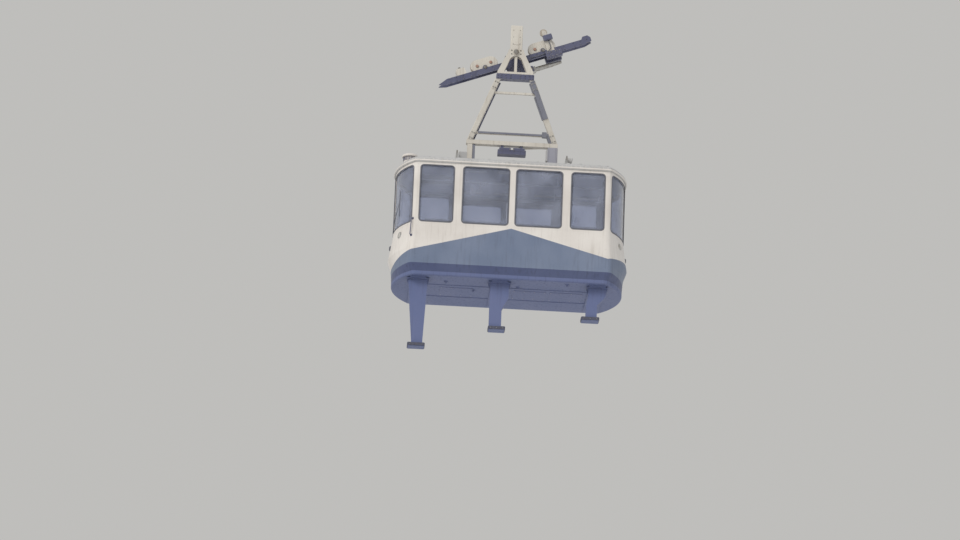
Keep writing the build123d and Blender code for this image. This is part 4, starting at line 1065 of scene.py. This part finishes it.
lid_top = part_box("hatch_lid")[1].z
grip_x = -1.125
grip_corners = ((-0.070, -0.004), (-0.070, 0.030), (0.070, 0.030), (0.070, -0.004))
lid_parts = [
    plate((0.430, 0.440, 0.004), (-1.370, 0, lid_top - 0.0005), faces_up, rounding=0.030),
    pipe([(grip_x, y, lid_top + rise) for y, rise in grip_corners], radius=0.007, bend=0.015),
]
add_flat("hatch_lid_pressing", lid_parts, "roof_paint", "hatch_lid")
print("bolster bolts", len(bolster_bolts))

# %% [markdown]
# ## Under the floor
# The legs are the only things that the photo shows clearly under the floor, together with darker
# bands where they meet it: cross members that carry their load to both sides. Each leg stands on
# a bolted flange with gussets. Stiffeners, access covers and drains fill the rest. They could be
# pressed into the floor pan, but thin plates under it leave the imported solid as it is.

# %% Cross members, flanges and gussets
downward = (0, 0, -1.0)
pan_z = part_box("underframe")[0].z
leg_y = -0.685
leg_spans = ((-1.840, -1.495), (-0.340, 0.010), (1.476, 1.799))
member_wide = 0.30
member_long = 1.72
member_thick = 0.016
flange_deep = 0.225
flange_past_leg = 0.035
flange_thick = 0.012
gusset_off = 0.045
bolt_past_leg = 0.018
bolt_off = 0.092
flange_foot = pan_z - member_thick - flange_thick


def gusset(x, way, y, reach=0.030, drop=0.090, half_thick=0.006):
    """Upright triangle of sheet beside a leg: out along X by reach at the top, down by drop."""
    flat = [(x, flange_foot), (x + way * reach, flange_foot), (x, flange_foot - drop)]
    points = [(px, y + t, pz) for t in (-half_thick, half_thick) for px, pz in flat]
    return np.array(points), [[0, 1, 2], [5, 4, 3], [0, 3, 4, 1], [1, 4, 5, 2], [2, 5, 3, 0]]


under_parts = []
under_bolts = []
for low_x, high_x in leg_spans:
    middle = (low_x + high_x) / 2
    width = high_x - low_x
    member = (member_wide, member_long, member_thick)
    under_parts.append(plate(member, (middle, 0, pan_z), faces_down, rounding=0.030))
    flange_centre = (middle, leg_y, pan_z - member_thick)
    flange = (width + 2 * flange_past_leg, flange_deep, flange_thick)
    under_parts.append(plate(flange, flange_centre, faces_down, rounding=0.010))
    for y in (leg_y - gusset_off, leg_y + gusset_off):
        under_parts += [gusset(low_x, -1, y), gusset(high_x, 1, y)]
    for x in np.linspace(low_x - bolt_past_leg, high_x + bolt_past_leg, 5):
        under_bolts += [(x, leg_y - bolt_off, flange_foot), (x, leg_y + bolt_off, flange_foot)]
for y in (-0.36, 0.36):
    under_parts.append(plate((3.30, 0.060, 0.008), (0, y, pan_z), faces_down, rounding=0.010))
add_flat("underfloor_members", under_parts, "indigo_paint")
bolts("leg_flange_bolts", under_bolts, downward, "indigo_paint", radius=0.012, height=0.011)
print("members", len(under_parts), "bolts", len(under_bolts))

# %% Covers and drains
cover_middles = (-0.93, 0.42, 1.10)
cover_thick = 0.006
cover_x = (-0.285, -0.095, 0.095, 0.285)
covers = [plate((0.62, 0.50, cover_thick), (x, 0, pan_z), faces_down, rounding=0.030) for x in cover_middles]
add_flat("underfloor_covers", covers, "indigo_paint")
cover_screws = [
    (middle + x, y, pan_z - cover_thick) for middle in cover_middles for x in cover_x for y in (-0.225, 0.225)
]
rivets("underfloor_cover_screws", cover_screws, downward, "bright_steel")
drain_profile = [(0.040, 0), (0.040, 0.006), (0.022, 0.008), (0.022, 0.028), (0.015, 0.028), (0.015, 0.006)]
drains = [(x, y, pan_z) for x, y in ((-0.62, -0.16), (0.19, -0.46), (1.08, -0.78), (-1.15, -0.60))]
add_mesh("underfloor_drains", set_copies(lathe(drain_profile), drains, downward), "indigo_paint")
print("covers", len(covers), "drains", len(drains))

# %% [markdown]
# The feet slide into guides at the station, so each foot plate is edged with a dark wear strip of
# rubber and fabric, screwed on from the side. One band bent round the plate would do, but real
# strips are cut at the corners, so each foot has four. They stop above the foot's underside,
# which is the face that the guide carries.

# %% Wear strips on the feet
wear_finish = rubber("wear_rubber", (0.050, 0.052, 0.072), rough=0.85)
foot_half_deep = 0.105
strip_rise = 0.037
strip_high = 0.056
strip_thick = 0.010
strips = []
strip_screws = []
# Both ends of each foot in X, and the height of its underside
for low_x, high_x, foot_z in ((-1.807, -1.505, -5.895), (-0.340, -0.045, -5.505), (1.365, 1.680, -5.235)):
    middle = (low_x + high_x) / 2
    z = foot_z + strip_rise
    side_strip = (high_x - low_x - 0.004, strip_high, strip_thick)
    end_strip = (0.206, strip_high, strip_thick)
    strips += [
        plate(side_strip, (middle, leg_y - foot_half_deep, z), faces_near),
        plate(side_strip, (middle, leg_y + foot_half_deep, z), faces_far),
        plate(end_strip, (low_x, leg_y, z), faces_downhill),
        plate(end_strip, (high_x, leg_y, z), faces_uphill),
    ]
    strip_screws += [(x, leg_y, z) for x in np.linspace(low_x + 0.04, high_x - 0.04, 3)]
add_flat("foot_wear_strips", strips, finish=wear_finish)
screw_places, screw_facing = both_sides(strip_screws, foot_half_deep + strip_thick - 0.001)
rivets("foot_strip_screws", screw_places, screw_facing, "bright_steel")
print("wear strips", len(strips))

# %% [markdown]
# ## Walls and ends
# Where the side panels meet the end panels they lap over a post, so two upright rows of rivets run
# down each joint, following the flare below the windows. One paint for a whole row would be
# simpler, but rivets are painted with their wall, so each row is split at the paint line.

# %% Rivets down the panel joints
joint_x = 1.745
rivet_pitch = 0.070
paint_line_z = -4.079
flare_top = -3.600
high_z = np.arange(-2.42, flare_top, -rivet_pitch)
low_z = np.arange(-3.63, -4.28, -rivet_pitch)
flare_reach = (flare_top - low_z) / (flare_top - wall_foot) * (flare_half_width - half_width)
joint_y = half_width + np.concatenate([np.zeros(len(high_z)), flare_reach])
joint_z = np.concatenate([high_z, low_z])
joint_row_x = [half * joint_x + aside for half in (-1, 1) for aside in (-0.018, 0.018)]
for side_name, side in (("near", -1.0), ("far", 1.0)):
    for colour, slot, chosen in (
        ("white", "white_paint", joint_z > paint_line_z),
        ("blue", "slate_blue_paint", joint_z <= paint_line_z),
    ):
        row = np.column_stack([np.zeros(int(chosen.sum())), side * joint_y[chosen], joint_z[chosen]])
        places = np.concatenate([row + [x, 0, 0] for x in joint_row_x])
        rivets(f"joint_rivets_{colour}_{side_name}", places, (0, side, 0), slot)
print("rivets in a joint row", len(joint_z))

# %% [markdown]
# Each end has two lamps let into the flared panel, and a wiper for the pane in front of the
# controls. The lamps take their place from a ray on to the wall, and the wipers follow the
# circle of the end, so both sit on the curve.

# %% End lamps and wipers
ends = ((-1.0, "end_wall_downhill"), (1.0, "end_wall_uphill"))
beyond_end = 3.0
lamp_z = -3.73
lamp_ring = lathe([(0.062, -0.006), (0.062, 0.008), (0.056, 0.014), (0.050, 0.014), (0.047, 0.006)], sides=32)
lamp_lens = lathe([(0.049, 0.003), (0.041, 0.009), (0.025, 0.013), (tip, 0.014)], sides=32)
lens_finish = enamel(
    "lamp_glass", (0.55, 0.53, 0.48), (0.50, 0.48, 0.43), (0.30, 0.27, 0.22), rough=0.12, runs=0.1
)
lamp_hits = [
    skin_point(wall, (way * beyond_end, y, lamp_z), (-way, 0, 0)) for way, wall in ends for y in (-0.60, 0.60)
]
lamp_places, lamp_facing = (np.array(rows) for rows in zip(*lamp_hits))
add_mesh("end_lamp_rings", set_copies(lamp_ring, lamp_places, lamp_facing), "rail_steel")
add_mesh("end_lamp_lenses", set_copies(lamp_lens, lamp_places, lamp_facing), finish=lens_finish)

# Across the end, the height, and how far off the glass: first the arm, then the blade
arm_y = np.array([0.20, 0.34, 0.52])
arm_z = np.array([-3.580, -3.360, -3.080])
arm_off = np.array([0.022, 0.030, 0.016])
blade_y = np.full(5, 0.52)
blade_z = np.linspace(-3.34, -2.82, 5)
blade_off = 0.010
wipers = []
for way in (-1, 1):
    arm = np.column_stack([way * (end_skin_x(arm_y) + arm_off), way * arm_y, arm_z])
    blade = np.column_stack([way * (end_skin_x(blade_y) + blade_off), way * blade_y, blade_z])
    wipers += [pipe(arm, radius=0.006, bend=0.03), pipe(blade, radius=0.007, bend=0.02)]
add_mesh("end_wipers", joined(wipers), finish=seal_finish)
print("lamps", len(lamp_places))

# %% [markdown]
# In the photo a thin dark upright stands at the near downhill corner, from the windows' foot down,
# and a dark spot sits on the uphill nose. On such a car these are a grab handle and the rubber
# buffer that meets the dock. Both take their place from a ray on to the wall, so they sit on the
# flare, and both are repeated at the other end.

# %% Corner handles and nose buffers
handle_stand = 0.036
beyond_corner = 2.1
buffer_z = -3.810
handle_heights = (-3.490, -3.820)
handles = []
handle_feet = []
buffer_places = []
for way, wall in ends:
    to_corner = np.array([-way, -way, 0]) / math.sqrt(2)
    feet = [skin_point(wall, (way * beyond_end, way * beyond_corner, z), to_corner) for z in handle_heights]
    top, bottom = (place for place, _ in feet)
    stand = to_corner * handle_stand
    handles.append(pipe([top, top - stand, bottom - stand, bottom], radius=0.009, bend=0.025))
    handle_feet += feet
    buffer_places.append(skin_point(wall, (way * beyond_end, 0, buffer_z), (-way, 0, 0))[0])
add_mesh("corner_handles", joined(handles), "dark_paint")
foot_shape = lathe([(0.024, -0.002), (0.024, 0.004), (0.011, 0.007), (tip, 0.007)])
foot_places, foot_facing = (np.array(rows) for rows in zip(*handle_feet))
add_mesh("corner_handle_feet", set_copies(foot_shape, foot_places, foot_facing), "dark_paint")
buffer_profile = [(0.052, -0.004), (0.052, 0.006), (0.044, 0.010), (0.042, 0.022), (0.030, 0.028)]
buffer_profile += [(tip, 0.029)]
buffers = set_copies(lathe(buffer_profile, sides=28), buffer_places, [[-1.0, 0, 0], [1.0, 0, 0]])
add_mesh("nose_buffers", buffers, finish=seal_finish)
print("buffers at", np.round(buffer_places, 3).tolist())

# %% [markdown]
# ## Doors
# The two leaves on the far side meet on rubber noses. The noses could be one bead, but each leaf
# carries its own, so they part with the leaves. Below the window each leaf has a pull bar, and the
# hangers above are bolted to the leaf's top rail.

# %% Meeting rubbers, pull bars and hanger bolts
nose_line = np.array([[leaf_face, -2.460], [leaf_face, flare_top], [1.0587, -4.340]])
nose_profile = np.array([[-0.012, -0.004], [0.012, -0.004], [0.012, 0.004], [0.004, 0.009], [-0.012, 0.009]])
nose_gap = 0.018
bar_z = -3.580
hanger_z = -2.490
bar_corners = ((0.065, -0.002), (0.065, 0.035), (0.255, 0.035), (0.255, -0.002))
for half, door in ((-1.0, "door_left"), (1.0, "door_right")):
    line = np.column_stack([np.full(3, half * nose_gap), nose_line])
    nose = swept(line, (-half, 0, 0), (0, 1.0, 0), nose_profile)
    add_flat(f"{door}_nose_rubber", [nose], body=door, finish=seal_finish)
    bar = pipe([(half * x, leaf_face + off, bar_z) for x, off in bar_corners], radius=0.008, bend=0.015)
    add_mesh(f"{door}_pull_bar", bar, "rail_steel", door)
    hanger_x = [half * x + aside for x in (0.150, 0.825) for aside in (-0.018, 0.018)]
    hanger_bolts = [(x, leaf_face, hanger_z) for x in hanger_x]
    bolts(f"{door}_hanger_bolts", hanger_bolts, (0, 1.0, 0), "bright_steel", 0.009, 0.008, door)
print("hanger bolts on each leaf", len(hanger_bolts))

# %% [markdown]
# ## Inside
# Seen from far below, the windows show the ceiling: a blue-grey lining with two rows of lamps and
# grab rails under it. A plain rectangle would stop short of the bowed ends, so the lining is
# built from strips across the car whose ends follow the plan, with a gap for the hatch.

# %% Ceiling lining
inner_gap = 0.060
lining_z = -2.402
lining_thick = 0.006
hatch_from = -1.66
hatch_to = -1.08
hatch_half = 0.29


def plan_reach(x):
    """Half width of the cabin inside at each X: the side, or the end's circle where it is nearer."""
    centre, radius = end_circle(half_width, corner_x, nose_x)
    beside = np.sqrt(np.maximum((radius - inner_gap) ** 2 - (np.abs(x) - centre) ** 2, 0.0))
    side = half_width - inner_gap
    return np.where(np.abs(x) > centre, np.minimum(side, beside), side)


def sheet_between(x, low_y, high_y, z, thick):
    """Thin slab between two edges given at each X, with its own top, bottom and edges."""
    corners = [(low_y, z), (high_y, z), (high_y, z + thick), (low_y, z + thick)]
    grid = np.stack([np.column_stack([x, y, np.full(len(x), level)]) for y, level in corners], axis=1)
    faces = grid_faces(len(x), 4, wrap_columns=True).tolist()
    faces.append([0, 1, 2, 3])
    faces.append([(len(x) - 1) * 4 + k for k in (3, 2, 1, 0)])
    return grid.reshape(-1, 3), faces


lining = []
for start, stop in ((-2.075, hatch_from), (hatch_to, 2.075)):
    x = np.linspace(start, stop, 40)
    lining.append(sheet_between(x, -plan_reach(x), plan_reach(x), lining_z, lining_thick))
x = np.linspace(hatch_from, hatch_to, 12)
hatch_edge = np.full(12, hatch_half)
lining.append(sheet_between(x, -plan_reach(x), -hatch_edge, lining_z, lining_thick))
lining.append(sheet_between(x, hatch_edge, plan_reach(x), lining_z, lining_thick))
lining_colours = ((0.27, 0.29, 0.38), (0.23, 0.25, 0.33), (0.15, 0.15, 0.17))
lining_finish = enamel("ceiling_laminate", *lining_colours, runs=0.1)
add_flat("ceiling_lining", lining, finish=lining_finish)
print("lining strips", len(lining))

# %% [markdown]
# Below the windows the walls are lined with thin laminate panels between the posts. The rails run
# under the ceiling on short droppers, and two stanchions stand beside the doors. They could have
# joints and clamps of their own, but behind tinted glass plain plates and bent pipes do.

# %% Ceiling lamps, wall panels and grab rails
lamp_size = (0.52, 0.090, 0.022)
lamp_spots = [(x, y, lining_z) for x in (-0.75, 0.0, 0.75, 1.5) for y in (-0.62, 0.62)]
ceiling_lamps = [plate(lamp_size, spot, faces_down, rounding=0.020) for spot in lamp_spots]
add_flat("ceiling_lamps", ceiling_lamps, finish=lens_finish)

panel_finish = enamel("wall_laminate", (0.44, 0.45, 0.48), (0.38, 0.39, 0.42), (0.22, 0.21, 0.20), runs=0.2)
panel_top = window_sill - 0.015
panel_foot = wall_foot + 0.008
panel_y = 0.9045
wall_panels = []
# Side of the car, the panel's middle, its width and the way that it faces into the cabin
for side, middle, width, ways in (
    (-1, -1.147, 1.130, faces_far),
    (-1, 0.0, 1.130, faces_far),
    (-1, 1.147, 1.130, faces_far),
    (1, -1.310, 0.800, faces_near),
    (1, 1.310, 0.800, faces_near),
):
    centre = (middle, side * panel_y, (panel_top + panel_foot) / 2)
    wall_panels.append(plate((width, panel_top - panel_foot, 0.0045), centre, ways))
add_flat("wall_panels_inside", wall_panels, finish=panel_finish)

rail_y = 0.42
rail_end = 1.72
rail_z = -2.56
rail_corners = ((-rail_end, lining_z), (-rail_end, rail_z), (rail_end, rail_z), (rail_end, lining_z))
into_rail = 0.01
stanchion_foot = -4.36
grab_rails = []
for y in (-rail_y, rail_y):
    grab_rails.append(pipe([(x, y, z) for x, z in rail_corners], radius=0.014))
    for x in (-0.86, 0.0, 0.86):
        grab_rails.append(pipe([(x, y, lining_z), (x, y, rail_z - into_rail)], radius=0.010))
for x in (-1.0, 1.0):
    grab_rails.append(pipe([(x, rail_y, rail_z + into_rail), (x, rail_y, stanchion_foot)], radius=0.016))
add_mesh("grab_rails", joined(grab_rails), "rail_steel")
print("rails", len(grab_rails))

# %% [markdown]
# The floor has a grey rubber covering. It could be painted on the floor pan, but with the doors
# open its edge shows as a thin step, so it is a slab of its own, cut to the same plan.

# %% Floor covering
x = np.linspace(-2.05, 2.05, 60)
covering = sheet_between(x, -plan_reach(x), plan_reach(x), wall_foot + 0.0005, 0.003)
add_flat("floor_covering", [covering], finish=rubber("floor_rubber", (0.10, 0.105, 0.11), rough=0.6))
print("covering faces", len(covering[1]))
